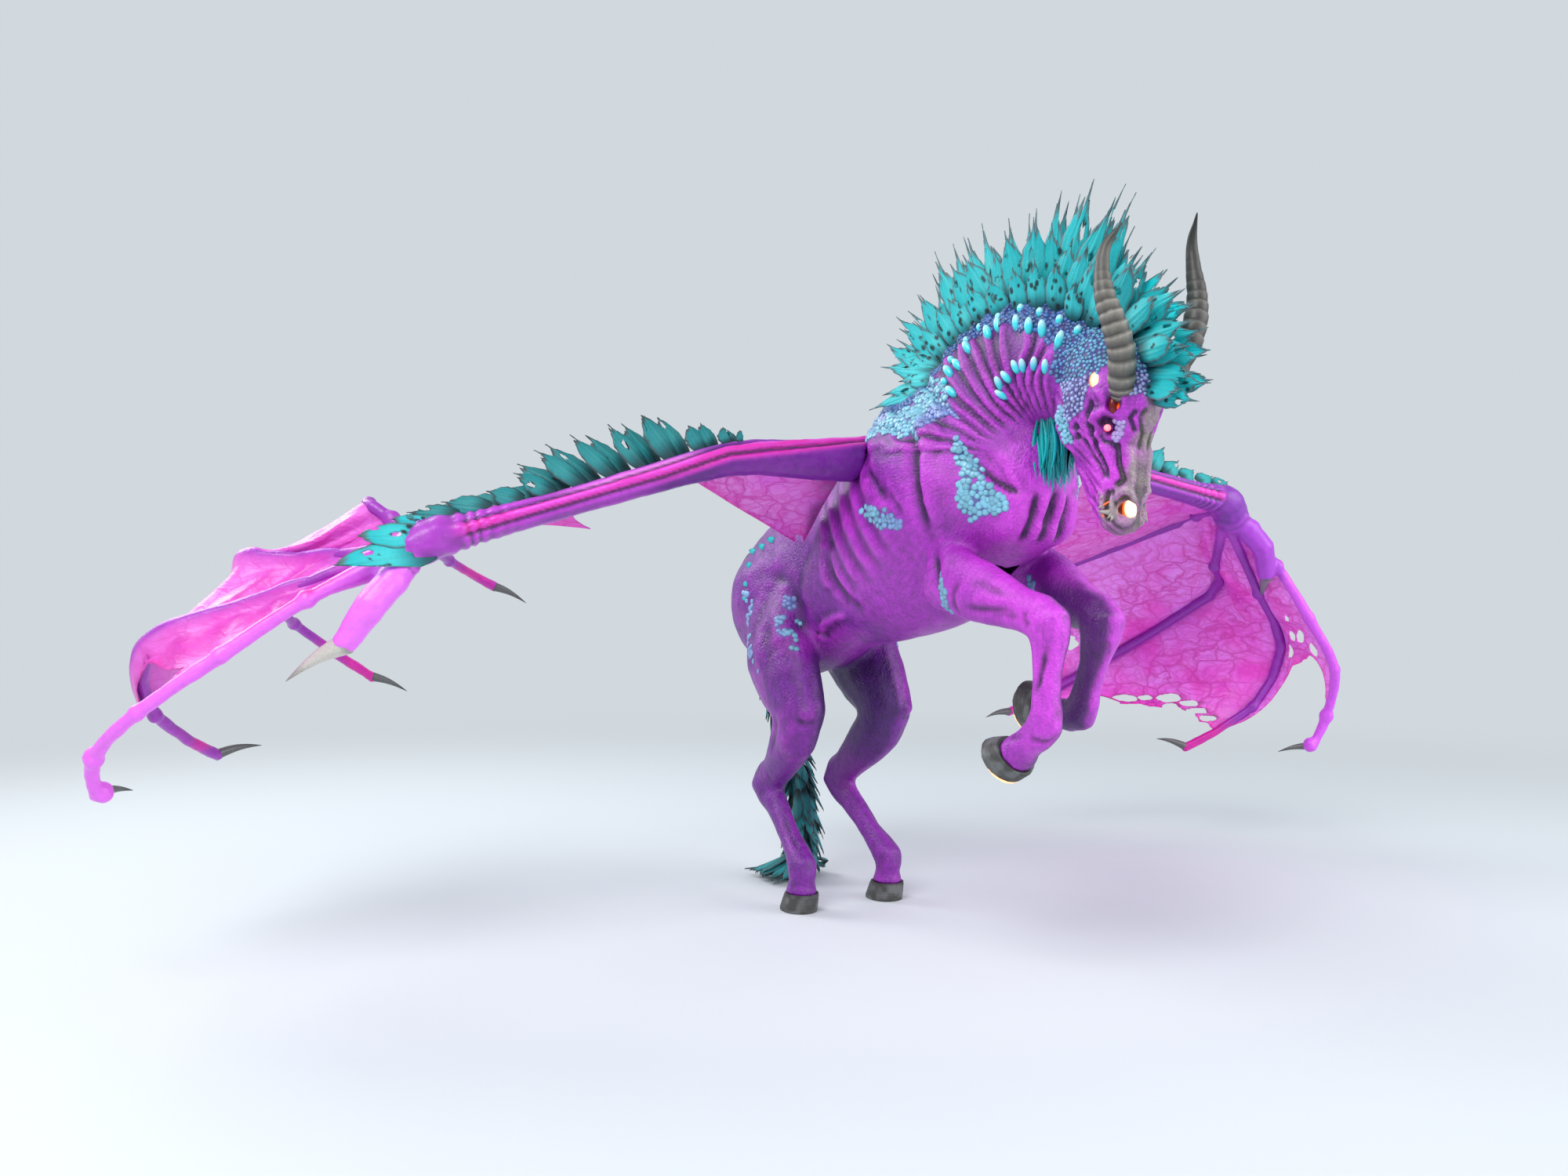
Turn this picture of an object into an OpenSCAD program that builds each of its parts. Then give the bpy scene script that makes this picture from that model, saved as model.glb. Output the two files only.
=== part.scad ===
// Rearing winged horse, a carved and painted folk figure.
// X points forward, Y to the figure's left, Z up. The floor is Z = 0, and the hind hooves stand over X = 0.

/* [Stance] */
// Distance between the hind hooves, centre to centre
hind_spread = 48; // [44:1:54]
// Slope of the trunk, chest up
trunk_pitch = 24; // [20:1:28]

/* [Hind legs] */
// Floor to fetlock
hind_pastern_len = 21; // [18:1:24]
// Fetlock to hock
hind_cannon_len = 52; // [46:1:58]
// Hock to stifle
gaskin_len = 62; // [56:1:68]
// Stifle to hip
thigh_len = 74; // [68:1:80]
// Thickness of the hind cannon
hind_cannon_d = 11; // [9:0.5:13]
// Depth of the hock, front to back
hock_d = 19; // [16:0.5:22]

/* [Fore legs] */
// Elbow to knee
fore_arm_len = 50; // [46:1:55]
// Knee to fetlock
fore_cannon_len = 37; // [33:1:42]
// Fetlock to hoof
fore_pastern_len = 20; // [17:1:23]
// Thickness of the fore cannon
fore_cannon_d = 11; // [9:0.5:13]

/* [Hooves] */
// Length of the sole
hoof_len = 20; // [18:0.5:22]
// Width of the sole
hoof_w = 17; // [15:0.5:19]
// Height of the hoof wall
hoof_h = 9; // [8:0.5:11]

/* [Trunk] */
// Width of the rump
rump_w = 56; // [52:1:62]
// Width of the chest
chest_w = 66; // [62:1:72]
// Depth of the chest
chest_depth = 96; // [90:1:102]
// Wall of the hollowed trunk, neck and their openings
trunk_wall = 6; // [5:0.5:8]

/* [Neck and head] */
// Width of the neck at its root
neck_w = 54; // [50:1:58]
// Width of the head across the eyes
head_w = 27; // [25:0.5:30]
// Diameter of the nostril orbs
nostril_d = 7; // [6:0.25:7.5]
// Diameter of the two orbs on each brow
brow_orb_d = 5; // [4.5:0.25:5.5]
// Diameter of the eyes
eye_d = 4; // [3.5:0.25:5]

/* [Horns] */
// Diameter at the root
horn_d = 9; // [8:0.25:10]
// Length of the right horn along its curve
right_horn_len = 57; // [50:1:64]
// Length of the left horn along its curve
left_horn_len = 66; // [58:1:72]
// Number of ridges
horn_ridges = 14; // [8:1:18]

/* [Wings] */
// Shoulder to elbow
upper_arm_len = 62; // [56:1:68]
// Elbow to wrist
fore_wing_len = 122; // [114:1:130]
// Thickness of the forearm
wing_arm_d = 15; // [13:0.5:17]
// Rise of the right arm above level
right_arm_rise = -12; // [-14:1:-8]
// Rise of the left arm above level
left_arm_rise = -3; // [-6:1:0]
// How much further the left hand droops
left_hand_droop = 30; // [24:1:34]
// Thickness of a finger at its knuckle
finger_d = 7; // [6:0.25:8]
// Length of a finger's claw
claw_len = 18; // [14:1:22]
// Length of the thumb's claw
thumb_claw_len = 28; // [24:1:32]
// Length of the leaves along the forearm
arm_leaf_len = 20; // [16:1:24]
// Thickness of the wing skin
skin_t = 1.2; // [1:0.1:1.6]

/* [Mane] */
// Length of the longest mane leaf
mane_leaf_len = 44; // [38:1:48]
// Width of a mane leaf
mane_leaf_w = 9; // [7:0.5:10]
// Thickness of every leaf
leaf_t = 1.4; // [1.2:0.1:1.8]
// Leaves in the middle row
mane_count = 17; // [12:1:20]
// Diameter of the crest beads
bead_d = 4; // [3:0.25:5]

/* [Tail] */
// How far behind the hooves the tail stands
tail_stand = 57; // [52:1:62]
// Thickness of the tail's root
tail_root_d = 15; // [13:0.5:17]
// Length of a plume leaf
plume_len = 34; // [28:1:38]

/* [Fittings] */
// Diameter of the glued dowels
dowel_d = 6; // [5:0.5:7]
// Diameter of the wing tenons
wing_tenon_d = 8; // [7:0.5:9]
// Length of the wing tenons
wing_tenon_len = 18; // [15:1:20]
// Diameter of the horn tenons
horn_tenon_d = 4; // [3:0.25:4.5]
// Length of the horn tenons
horn_tenon_len = 8; // [6:0.5:9]
// Gap all round a plug-in tenon
slip_gap = 0.1; // [0.08:0.01:0.15]
// Gap between a plug-in piece and its seat
seat_gap = 0.3; // [0.2:0.05:0.4]
// Diameter of the iron ballast in the rump
ballast_d = 46; // [40:1:48]
// Length of the iron ballast
ballast_len = 42; // [36:1:42]

/* [Hidden] */
PURPLE = [0.60, 0.13, 0.70];
PINK = [0.95, 0.45, 0.90];
TEAL = [0.00, 0.75, 0.78];
DARK_TEAL = [0.00, 0.45, 0.47];
HORN = [0.42, 0.41, 0.38];
HOOF = [0.25, 0.25, 0.24];
GLOW = [1.00, 0.90, 0.65];
BEAD = [0.30, 0.85, 0.90];
WOOD = [0.80, 0.65, 0.45];
IRON = [0.30, 0.30, 0.32];

// ---- Smooth tubes and lumps -------------------------------------------------------------------

function unit(v) = v / norm(v);
function total(list, i = 0) = i < len(list) ? list[i] + total(list, i + 1) : 0;
function spot(row) = [row.x, row.y, row.z];
function mix(a, b, t) = a + (b - a) * t;
// A value on the smooth curve through b and c, with neighbours a and d
function curve(a, b, c, d, t) =
    b + t * (c - a) / 2 + t * t * (a - 2.5 * b + 2 * c - d / 2) + t * t * t * (1.5 * (b - c) + (d - a) / 2);
// Rows of [x, y, z, half width, half height], with steps rows for each one given
function smooth(rows, steps) = let(last = len(rows) - 1) [
    for (i = [0 : last * steps]) let(k = min(floor(i / steps), last - 1))
        curve(rows[max(k - 1, 0)], rows[k], rows[k + 1], rows[min(k + 2, last)], i / steps - k)];
function heading(rows, i) = unit(spot(rows[min(i + 1, len(rows) - 1)]) - spot(rows[max(i - 1, 0)]));
// A lump is [x, y, z, radius, height]; a hollow has a height below zero
function swell(p, out, lumps) = p + out * total([for (m = lumps) m[4] * exp(-pow(norm(p - spot(m)) / m[3], 2))]);
// A step out from row i at the angle a from side, on an ellipse w across and h high
function round_row(rows, i, side, a, w, h) = let(along = heading(rows, i), up = unit(cross(along, side)))
    cross(up, along) * w * cos(a) + up * h * sin(a);
function rim(rows, i, side, a) = round_row(rows, i, side, a, rows[i][3], rows[i][4]);
function ring(rows, i, side, sides, lumps) = [for (k = [0 : sides - 1]) let(out = rim(rows, i, side, 360 * k / sides))
    swell(spot(rows[i]) + out, unit(out), lumps)];

// A place on a tube's skin and the way out of it: t along the tube, a from the side s towards the top
function on_tube(rows, t, a, s) = let(fine = smooth(rows, 24), i = round(t * (len(fine) - 1)),
    turn = s > 0 ? a : 180 - a) [spot(fine[i]) + rim(fine, i, [0, 1, 0], turn),
    unit(round_row(fine, i, [0, 1, 0], turn, 1 / fine[i][3], 1 / fine[i][4]))];

// A closed skin over rings of equal count, with a point at each end
module skin(rings, root, tip) {
    n = len(rings[0]);
    m = len(rings);
    polyhedron([for (r = rings) each r, root, tip], [
        for (i = [0 : m - 2], k = [0 : n - 1]) let(q = (k + 1) % n)
            each [[i * n + k, i * n + n + k, i * n + n + q], [i * n + k, i * n + n + q, i * n + q]],
        for (k = [0 : n - 1]) let(q = (k + 1) % n)
            each [[m * n, k, q], [m * n + 1, (m - 1) * n + q, (m - 1) * n + k]]]);
}

module tube(rows, side = [0, 1, 0], sides = 16, steps = 3, lumps = [], cap = 0.5) {
    s = smooth(rows, steps);
    last = len(s) - 1;
    skin([for (i = [0 : last]) ring(s, i, side, sides, lumps)],
        spot(s[0]) - heading(s, 0) * cap * min(s[0][3], s[0][4]),
        spot(s[last]) + heading(s, last) * cap * min(s[last][3], s[last][4]));
}

// Facets worked out together, so that pieces cut from each other meet exactly
module carved() {
    resize([0, 0, 0]) children();
}

// Rows of a leaf from a towards d, bent towards the direction bend, w wide and as thick as every leaf
function leaf_rows(a, d, length, w, bend = [0, 0, 0]) = [
    [each a, leaf_t / 2, 0.3 * w], [each a + length * 0.35 * d - bend * 0.2, leaf_t / 2, 0.5 * w],
    [each a + length * 0.72 * d, leaf_t / 2, 0.36 * w], [each a + length * d + bend, 0.2 * leaf_t, 0.05 * w]];
module leaf(a, d, length, w, side, bend = [0, 0, 0]) {
    tube(leaf_rows(a, unit(d), length, w, bend), side = side, sides = 4, steps = 1);
}

// A thin sheet over a grid of points, t thick
module sheet(grid, t) {
    m = len(grid);
    n = len(grid[0]);
    function across(i, j) = unit(cross(
        grid[min(i + 1, m - 1)][j] - grid[max(i - 1, 0)][j], grid[i][min(j + 1, n - 1)] - grid[i][max(j - 1, 0)]));
    points = [for (s = [-0.5, 0.5], i = [0 : m - 1], j = [0 : n - 1]) grid[i][j] + s * t * across(i, j)];
    edge = concat([for (j = [0 : n - 1]) j], [for (i = [1 : m - 1]) i * n + n - 1],
        [for (j = [n - 2 : -1 : 0]) (m - 1) * n + j], [for (i = [m - 2 : -1 : 1]) i * n]);
    polyhedron(points, concat(
        [for (i = [0 : m - 2], j = [0 : n - 2]) let(k = i * n + j) each [[k, k + n, k + n + 1], [k, k + n + 1, k + 1]]],
        [for (i = [0 : m - 2], j = [0 : n - 2]) let(k = m * n + i * n + j)
            each [[k, k + n + 1, k + n], [k, k + 1, k + n + 1]]],
        [for (e = [0 : len(edge) - 1]) let(a = edge[e], b = edge[(e + 1) % len(edge)])
            each [[a, b, b + m * n], [a, b + m * n, a + m * n]]]));
}

// A true cylinder from a, along v
module rod(a, v, d, length, start = 0) {
    along(a, v) translate([0, 0, start]) cylinder(d = d, h = length - start, $fn = 48);
}
module along(a, v) {
    translate(a) rotate([0, acos(v.z / norm(v)), atan2(v.y, v.x)]) children();
}

// ---- Skeleton ---------------------------------------------------------------------------------

// The end of a bone that starts at p, [x, z], and leans forward by the angle lean from upright
function bone(p, length, lean) = p + length * [sin(lean), cos(lean)];
hind_fetlock = bone([0, 0], hind_pastern_len, 10);
hock = bone(hind_fetlock, hind_cannon_len, -50);
stifle = bone(hock, gaskin_len, 51);
hip = bone(stifle, thigh_len, -43);

// A point of the trunk: u along the spine from the hips, y to the left, v up from it
function trunk(u, y, v) = [
    hip.x + u * cos(trunk_pitch) - v * sin(trunk_pitch), y, hip.y + u * sin(trunk_pitch) + v * cos(trunk_pitch)];
// Rows of [u, v of the middle, half width, half height]
trunk_plan = [
    [-38, 8, 0.42 * rump_w / 2, 16], [-29, 6, 0.8 * rump_w / 2, 29], [-12, 1, 0.97 * rump_w / 2, 37],
    [16, -4, rump_w / 2, 41], [48, -5, 0.93 * rump_w / 2, 42], [85, -12.5, 0.93 * chest_w / 2, 44.5],
    [118, 31 - chest_depth / 2, chest_w / 2, chest_depth / 2], [150, -17.5, 0.93 * chest_w / 2, 45.5],
    [172, -30, 0.76 * chest_w / 2, 32], [185, -38, 0.44 * chest_w / 2, 18]];
trunk_rows = [for (r = trunk_plan) [each trunk(r[0], 0, r[1]), r[2], r[3]]];
function both(lumps) = [for (m = lumps, s = [-1, 1]) [m[0].x, s * m[0].y, m[0].z, m[1], m[2]]];
trunk_lumps = both([
    [trunk(-8, 29, 6), 20, 4], [trunk(12, 24, 32), 10, 3.5], [trunk(48, 30, 2), 16, -4],
    [trunk(140, 30, 0), 22, 4], [trunk(166, 24, -30), 13, 5], [trunk(176, 9, -50), 9, 4],
    [trunk(132, 28, -52), 14, -2], [trunk(-38, 14, 0), 14, 3], [trunk(124, 18, 24), 15, 6]]);

neck_root = trunk(144, 0, -17);
// Points of the neck and head are steps forward and up from the root of the neck
function ahead(x, z) = [neck_root.x + x, 0, neck_root.z + z];
neck_rows = [
    [each ahead(0, 0), neck_w / 2, 44], [each ahead(12, 19), 0.94 * neck_w / 2, 40.5],
    [each ahead(23.5, 36), 0.8 * neck_w / 2, 34.5], [each ahead(38.5, 42.5), 0.68 * neck_w / 2, 27],
    [each ahead(53, 40), 0.58 * neck_w / 2, 23], [each ahead(63, 35), 0.5 * neck_w / 2, 20.5]];
head_half = head_w / 2;
head_rows = [
    [each ahead(64, 46), 0.5 * head_half, 9], [each ahead(70, 39), 0.86 * head_half, 16.5],
    [each ahead(76.5, 28), head_half, 22], [each ahead(80.5, 14), 0.94 * head_half, 18.5],
    [each ahead(83, 3), 0.72 * head_half, 12.5], [each ahead(84, -8), 0.62 * head_half, 9.5],
    [each ahead(83.5, -16), 0.6 * head_half, 9], [each ahead(82.5, -21), 0.45 * head_half, 6.5]];
jaw_rows = [
    [each ahead(66, 10), 5, 5], [each ahead(71, -1), 5.5, 5], [each ahead(74, -10), 5, 3.5],
    [each ahead(75, -15), 4, 2.5]];

// Leg rows run from the body down to the hoof; s is -1 for right and 1 for left
function on_leg(p, s, y) = [p.x, s * y, p.y];
hind_y = hind_spread / 2;
hock_y = hind_y - 3.5;
hoof_back = 3;
hind_coronet = [hoof_back, hoof_h];
function hind_rows(s) = [
    [each on_leg(hip + [7, 4], s, 16), 11, 24],
    [each on_leg(mix(hip, stifle, 0.5) + [-5, -1], s, hind_y - 1), 14, 25],
    [each on_leg(stifle + [-11, -2], s, hind_y), 11, 16],
    [each on_leg(mix(stifle, hock, 0.5) + [-1, 0], s, mix(hind_y, hock_y, 0.5)), 8.5, 11.5],
    [each on_leg(mix(stifle, hock, 0.82), s, hock_y), 6.8, 8.5],
    [each on_leg(hock, s, hock_y), 7, hock_d / 2],
    [each on_leg(mix(hock, hind_fetlock, 0.28), s, mix(hock_y, hind_y, 0.2)), 5.2, 6.6],
    [each on_leg(mix(hock, hind_fetlock, 0.68), s, mix(hock_y, hind_y, 0.6)), 4.8, hind_cannon_d / 2],
    [each on_leg(hind_fetlock, s, hind_y), 6.8, 7.4],
    [each on_leg(mix(hind_fetlock, hind_coronet, 0.55), s, hind_y), 5.8, 5.8],
    [each on_leg(hind_coronet, s, hind_y), 7.5, 8]];
function hind_lumps(s) = [
    [each on_leg(hock + [-9, 5], s, hock_y), 7, 2.5], [each on_leg(stifle + [2, 2], s, hind_y + 3), 9, 2],
    [each on_leg(mix(stifle, hock, 0.25) + [-8, -4], s, hind_y), 10, 2]];

// Each fore leg: the lean of its forearm, cannon and pastern, and how far from the middle its knee is
fore_lean = [[104, 184, 232], [104, 200, 266]];
fore_knee_y = [17, 9];
elbow = let(p = trunk(143, 0, -62)) [p.x, p.z];
elbow_y = 23;
function side_of(s) = s < 0 ? 0 : 1;
function fore_joints(s) = let(a = fore_lean[side_of(s)], knee = bone(elbow, fore_arm_len, a[0]),
    fetlock = bone(knee, fore_cannon_len, a[1])) [knee, fetlock, bone(fetlock, fore_pastern_len, a[2])];
function fore_rows(s) = let(j = fore_joints(s), y = fore_knee_y[side_of(s)]) [
    [each on_leg(elbow + [-10, 8], s, elbow_y - 3), 8.5, 13],
    [each on_leg(elbow + [3, 3], s, elbow_y), 9.5, 13],
    [each on_leg(mix(elbow, j[0], 0.4) + [0, 2], s, mix(elbow_y, y, 0.4)), 9, 11.5],
    [each on_leg(mix(elbow, j[0], 0.78) + [0, 1], s, mix(elbow_y, y, 0.78)), 7, 8.2],
    [each on_leg(j[0] + [-1, -1], s, y), 7.6, 8.6],
    [each on_leg(mix(j[0], j[1], 0.35), s, y), 5.6, 6],
    [each on_leg(mix(j[0], j[1], 0.7), s, y), 5, fore_cannon_d / 2],
    [each on_leg(j[1], s, y), 6.4, 7.2],
    [each on_leg(mix(j[1], j[2], 0.55), s, y), 5.8, 5.8],
    [each on_leg(j[2], s, y), 7.2, 7.6]];
function fore_lumps(s) = let(j = fore_joints(s), y = fore_knee_y[side_of(s)])
    [[each on_leg(j[0] + [5, 5], s, y), 7, 2], [each on_leg(elbow + [-10, -7], s, elbow_y), 7, 2.5]];

// ---- Wings ------------------------------------------------------------------------------------

wing_root = trunk(112, 26, 13);
tenon_rise = 18;
tenon_axis = [0, cos(tenon_rise), sin(tenon_rise)];
arm_rise = [right_arm_rise, left_arm_rise];
hand_droop = [0, left_hand_droop];
// Steps [forward, outward, up] from the shoulder with the arm level and square to the trunk
wing_elbow = upper_arm_len * unit([2, 60, 10]);
wing_wrist = wing_elbow + fore_wing_len * unit([-2, 118, -9]);
arm_sweep = [8, 3];
// Steps from the wrist with the hand as the right one is held
thumb_joint = [6, 22, -24];
thumb_end = [1, 31, -39];
finger_steps = [
    [[-5, 20, -11], [-7, 42, -22], [-14, 70, -42], [-23, 96, -62], [-43, 109, -79], [-56, 108, -95]],
    [[-12, 17, -6], [-31, 55, -23], [-50, 91, -38], [-74, 88, -67], [-106, 62, -88]],
    [[-10, 10, -3], [-42, 36, -6], [-66, 57, -7], [-144, 27, -33], [-169, -14, -61]],
    [[-8, 3, 1], [-26, 8, 9], [-44, 13, 16], [-137, -43, -3], [-156, -72, -16]]];
// Turned about the line that runs forward and outward, so that all the fingers drop alike
function droop(p, a) = let(n = unit([2, 3, 0])) p * cos(a) - cross(n, p) * sin(a) + n * (n * p) * (1 - cos(a));
function rise(p, a) = [p.x, p.y * cos(a) - p.z * sin(a), p.y * sin(a) + p.z * cos(a)];
function sweep(p, a) = [p.x * cos(a) - p.y * sin(a), p.x * sin(a) + p.y * cos(a), p.z];
function reach(s, p) = wing_root + sweep(rise(p, arm_rise[side_of(s)]), arm_sweep[side_of(s)]);
function on_wing(s, p) = let(q = reach(s, p)) [q.x, s * q.y, q.z];
function on_hand(s, p, turn = 1) = let(
    q = reach(s, wing_wrist) + droop(p, turn * hand_droop[side_of(s)]))
    [q.x, s * q.y, q.z];
function wing_side(s) = [-s, 0, 0];
function arm_rows(s) = let(r = wing_arm_d / 2) [
    [each on_wing(s, [0, -7, 0]), 1.6 * r, 1.3 * r],
    [each on_wing(s, [0, 2, 0]), 1.5 * r, 1.25 * r],
    [each on_wing(s, 0.5 * wing_elbow), 1.15 * r, 1.05 * r],
    [each on_wing(s, wing_elbow), 0.95 * r, 0.9 * r],
    [each on_wing(s, mix(wing_elbow, wing_wrist, 0.5)), 0.8 * r, 0.75 * r],
    [each on_wing(s, mix(wing_elbow, wing_wrist, 0.85)), 0.95 * r, 0.85 * r],
    [each on_wing(s, wing_wrist), 1.35 * r, 1.1 * r],
    [each on_hand(s, [-7, 13, -8]), 1.3 * r, 0.8 * r]];
function thumb_rows(s) = [
    [each on_hand(s, [1, 3, -3], 0), 4.5, 4.5], [each on_hand(s, mix([0, 0, 0], thumb_joint, 0.6), 0), 5.6, 5.6],
    [each on_hand(s, thumb_joint, 0), 6, 6], [each on_hand(s, mix(thumb_joint, thumb_end, 0.6), 0), 5, 5],
    [each on_hand(s, thumb_end, 0), 4.6, 4.6]];
function finger_rows(s, i) = let(steps = finger_steps[i], last = len(steps) - 1) [
    for (k = [0 : last]) let(r = finger_d / 2 * [0.95, 0.7, 0.85, 0.65, 0.75, 0.6][k])
        [each on_hand(s, steps[k]), r, r]];

// ---- Trunk, neck and head ---------------------------------------------------------------------

// grow widens the trunk or the head all round, for the gap under a plug-in piece
function wider(rows, grow) = [for (r = rows) [each spot(r), r[3] + grow, r[4] + grow]];
module trunk_form(grow = 0) { tube(wider(trunk_rows, grow), sides = 20, lumps = trunk_lumps); }
module neck_form() { tube(neck_rows, sides = 20, steps = 3); }
module head_form(grow = 0) {
    tube(wider(head_rows, grow), sides = 20, steps = 3, lumps = both([
        [ahead(91, 24) + [0, 12, 0], 6, 2.5], [ahead(70, 16) + [0, 12, 0], 9, 2.5],
        [ahead(92, 8) + [0, 9, 0], 7, -1.5], [ahead(96, 20), 6, 2]]));
}
module jaw_form() { tube(jaw_rows, sides = 10, steps = 2); }
// The hollow keeps lower under the wings, where their sockets need the wood
module hollow() {
    keep = [0, 0, 2, 11, 4, 0];
    tube([for (i = [0 : 5]) let(r = trunk_plan[i + 3]) [each trunk(r[0], 0, r[1] - keep[i]),
        r[2] - trunk_wall, r[3] - trunk_wall - keep[i]]], sides = 14, steps = 2);
}
module neck_hollow() {
    tube([for (i = [2 : 4]) let(r = neck_rows[i]) [each spot(r), r[3] - trunk_wall, r[4] - trunk_wall]],
        sides = 12, steps = 2);
}
module hind_leg_form(s) { tube(hind_rows(s), sides = 14, steps = 2, lumps = hind_lumps(s)); }
module fore_leg_form(s) { tube(fore_rows(s), sides = 12, steps = 2, lumps = fore_lumps(s)); }

// Glued dowels: where each crosses its joint and the way it runs
leg_dowel_y = 20;
hip_dowel = mix(hip, stifle, 0.35);
elbow_dowel = elbow + [-7, 7];
module leg_dowel_rods(s, start, end) {
    for (p = [hip_dowel, elbow_dowel]) rod([p.x, s * leg_dowel_y, p.y], [0, s, 0], dowel_d, end, start);
}
leg_dowel_in = 8;
leg_dowel_out = 8;
module neck_dowel_rod() { rod(ahead(17.5, 27.5), [0.6, 0, 0.8], dowel_d, 9, -9); }
module head_dowel_rod() { rod(ahead(71, 31), [0.9, 0, -0.43], dowel_d, 7, -8); }
module tail_dowel_rod() { rod([-81, 1, 150], [-0.95, 0, -0.3], dowel_d, 7, -7); }
ballast_at = trunk(-6, 0, 3);
module ballast_rod() { rod(ballast_at - [0, ballast_len / 2, 0], [0, 1, 0], ballast_d, ballast_len); }
module wing_tenon_rod(s, d, length, start) {
    rod([wing_root.x, s * wing_root.y, wing_root.z], [0, s * tenon_axis.y, tenon_axis.z], d, length, start);
}

module torso() color(PURPLE) difference() {
    carved() difference() { trunk_form(); hollow(); }
    for (s = [-1, 1]) {
        wing_tenon_rod(s, wing_tenon_d + 2 * slip_gap, 30, -wing_tenon_len - 1);
        leg_dowel_rods(s, -leg_dowel_in, leg_dowel_out);
    }
    ballast_rod();
    neck_dowel_rod();
    tail_dowel_rod();
}
module ballast() color(IRON) ballast_rod();
module neck() color(PURPLE) difference() {
    carved() difference() { neck_form(); trunk_form(); neck_hollow(); }
    neck_dowel_rod();
    head_dowel_rod();
}
module neck_dowel() color(WOOD) neck_dowel_rod();

// ---- Head -------------------------------------------------------------------------------------

// Places on the face: how far down the head, and the angle from its side towards its front
brow_spot = [0.30, 21];
slit_spot = [0.386, 36];
eye_spot = [0.457, 24];
nostril_spot = [0.814, 54];
horn_spot = [0.34, 48];
function face(place, s) = on_tube(head_rows, place[0], place[1], s);
// A ball sits a quarter of its width below the skin, in a drilled seat as deep as the ball
function ball_at(place, d, s) = let(f = face(place, s)) f[0] - 0.25 * d * f[1];
module ball(place, d) color(GLOW) for (s = [-1, 1]) translate(ball_at(place, d, s)) sphere(d = d, $fn = 48);
module ball_seat(place, d) {
    for (s = [-1, 1]) rod(ball_at(place, d, s), face(place, s)[1], d, 8, -d / 2);
}
module horn_tenon_rod(s, d, length, start) { rod(horn_base(s), horn_axis(s), d, length, start); }

module horn_sockets() {
    for (s = [-1, 1]) horn_tenon_rod(s, horn_tenon_d + 2 * slip_gap, 20, -horn_tenon_len - 1);
}

module head() color(PURPLE) difference() {
    carved() difference() { head_form(); neck_form(); }
    ball_seat(brow_spot, brow_orb_d);
    ball_seat(slit_spot, brow_orb_d);
    ball_seat(eye_spot, eye_d);
    ball_seat(nostril_spot, nostril_d);
    horn_sockets();
    head_dowel_rod();
}
module head_dowel() color(WOOD) head_dowel_rod();
module lower_jaw() color(PURPLE) carved() difference() { jaw_form(); head_form(); }
module brow_orbs() ball(brow_spot, brow_orb_d);
// The slit's ball gives way to the horn's tenon, which passes behind it
module slit_orbs() difference() {
    ball(slit_spot, brow_orb_d);
    horn_sockets();
}
module eyes() ball(eye_spot, eye_d);
module nostril_orbs() ball(nostril_spot, nostril_d);

// A fang and three smaller teeth along each side of the jaw, pointing back
module teeth() color([0.8, 0.75, 0.65]) carved() difference() {
    for (s = [-1, 1], i = [0 : 3]) let(r = i == 2 ? 1.4 : 0.9, p = mix(spot(jaw_rows[1]), spot(jaw_rows[3]), 0.3 * i))
        along(p + [0, s * 4.6, 0], [-0.75, s * 0.5, 0.35]) cylinder(r1 = r, r2 = 0.2, h = 4.5 * r, $fn = 5);
    head_form();
    jaw_form();
}

// Horn rows, as shares of the length: forward, outward, up, and thickness
horn_shape = [
    [-0.03, -0.03, -0.06, 0.7], [0, 0, 0, 1], [0.08, 0.08, 0.18, 1.04], [0.09, 0.15, 0.34, 0.95],
    [0.06, 0.19, 0.5, 0.78], [0.03, 0.18, 0.66, 0.58], [0.03, 0.15, 0.8, 0.4], [0.1, 0.09, 0.93, 0.08]];
function horn_len(s) = s < 0 ? right_horn_len : left_horn_len;
function horn_base(s) = face(horn_spot, s)[0];
function horn_axis(s) = unit([horn_shape[2].x, s * horn_shape[2].y, horn_shape[2].z]);
function horn_rows(s) = [for (h = horn_shape)
    [each horn_base(s) + horn_len(s) * [h.x, s * h.y, h.z], h[3] * horn_d / 2, h[3] * horn_d / 2]];
// The same rows with a swelling at every ridge, dying out towards the tip
function ridged(rows, count) = let(n = len(rows) - 1) [for (i = [0 : n]) let(t = i / n,
    k = 1 + 0.07 * (1 - t) * cos(360 * count * t)) [each spot(rows[i]), rows[i][3] * k, rows[i][4] * k]];
horn_steps = 5;
module horn(s) color(HORN) difference() {
    carved() difference() {
        tube(ridged(smooth(horn_rows(s), horn_steps), horn_ridges), side = [0, 1, 0], sides = 8, steps = 1);
        head_form(seat_gap);
    }
    horn_tenon_rod(s, horn_tenon_d, 6, -8);
}
module horn_tenon(s) color(WOOD) horn_tenon_rod(s, horn_tenon_d, 6, -horn_tenon_len);

// ---- Mane, crest and beard --------------------------------------------------------------------

// The crest runs over the neck from its root to the poll, then down the front of the head
neck_share = 0.62;
function crest(t, y) = let(on_neck = t < neck_share,
    p = on_neck ? on_tube(neck_rows, mix(0.3, 1, t / neck_share), 90, 1)[0]
        : on_tube(head_rows, mix(0.06, 0.38, (t - neck_share) / (1 - neck_share)), 90, 1)[0]) [p.x, y, p.z];
function fan(t) = mix(163, -18, t);
function mane_reach(t) = mane_leaf_len * (t < 0.5 ? 1 : mix(1, 0.5, 2 * t - 1));
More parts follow.
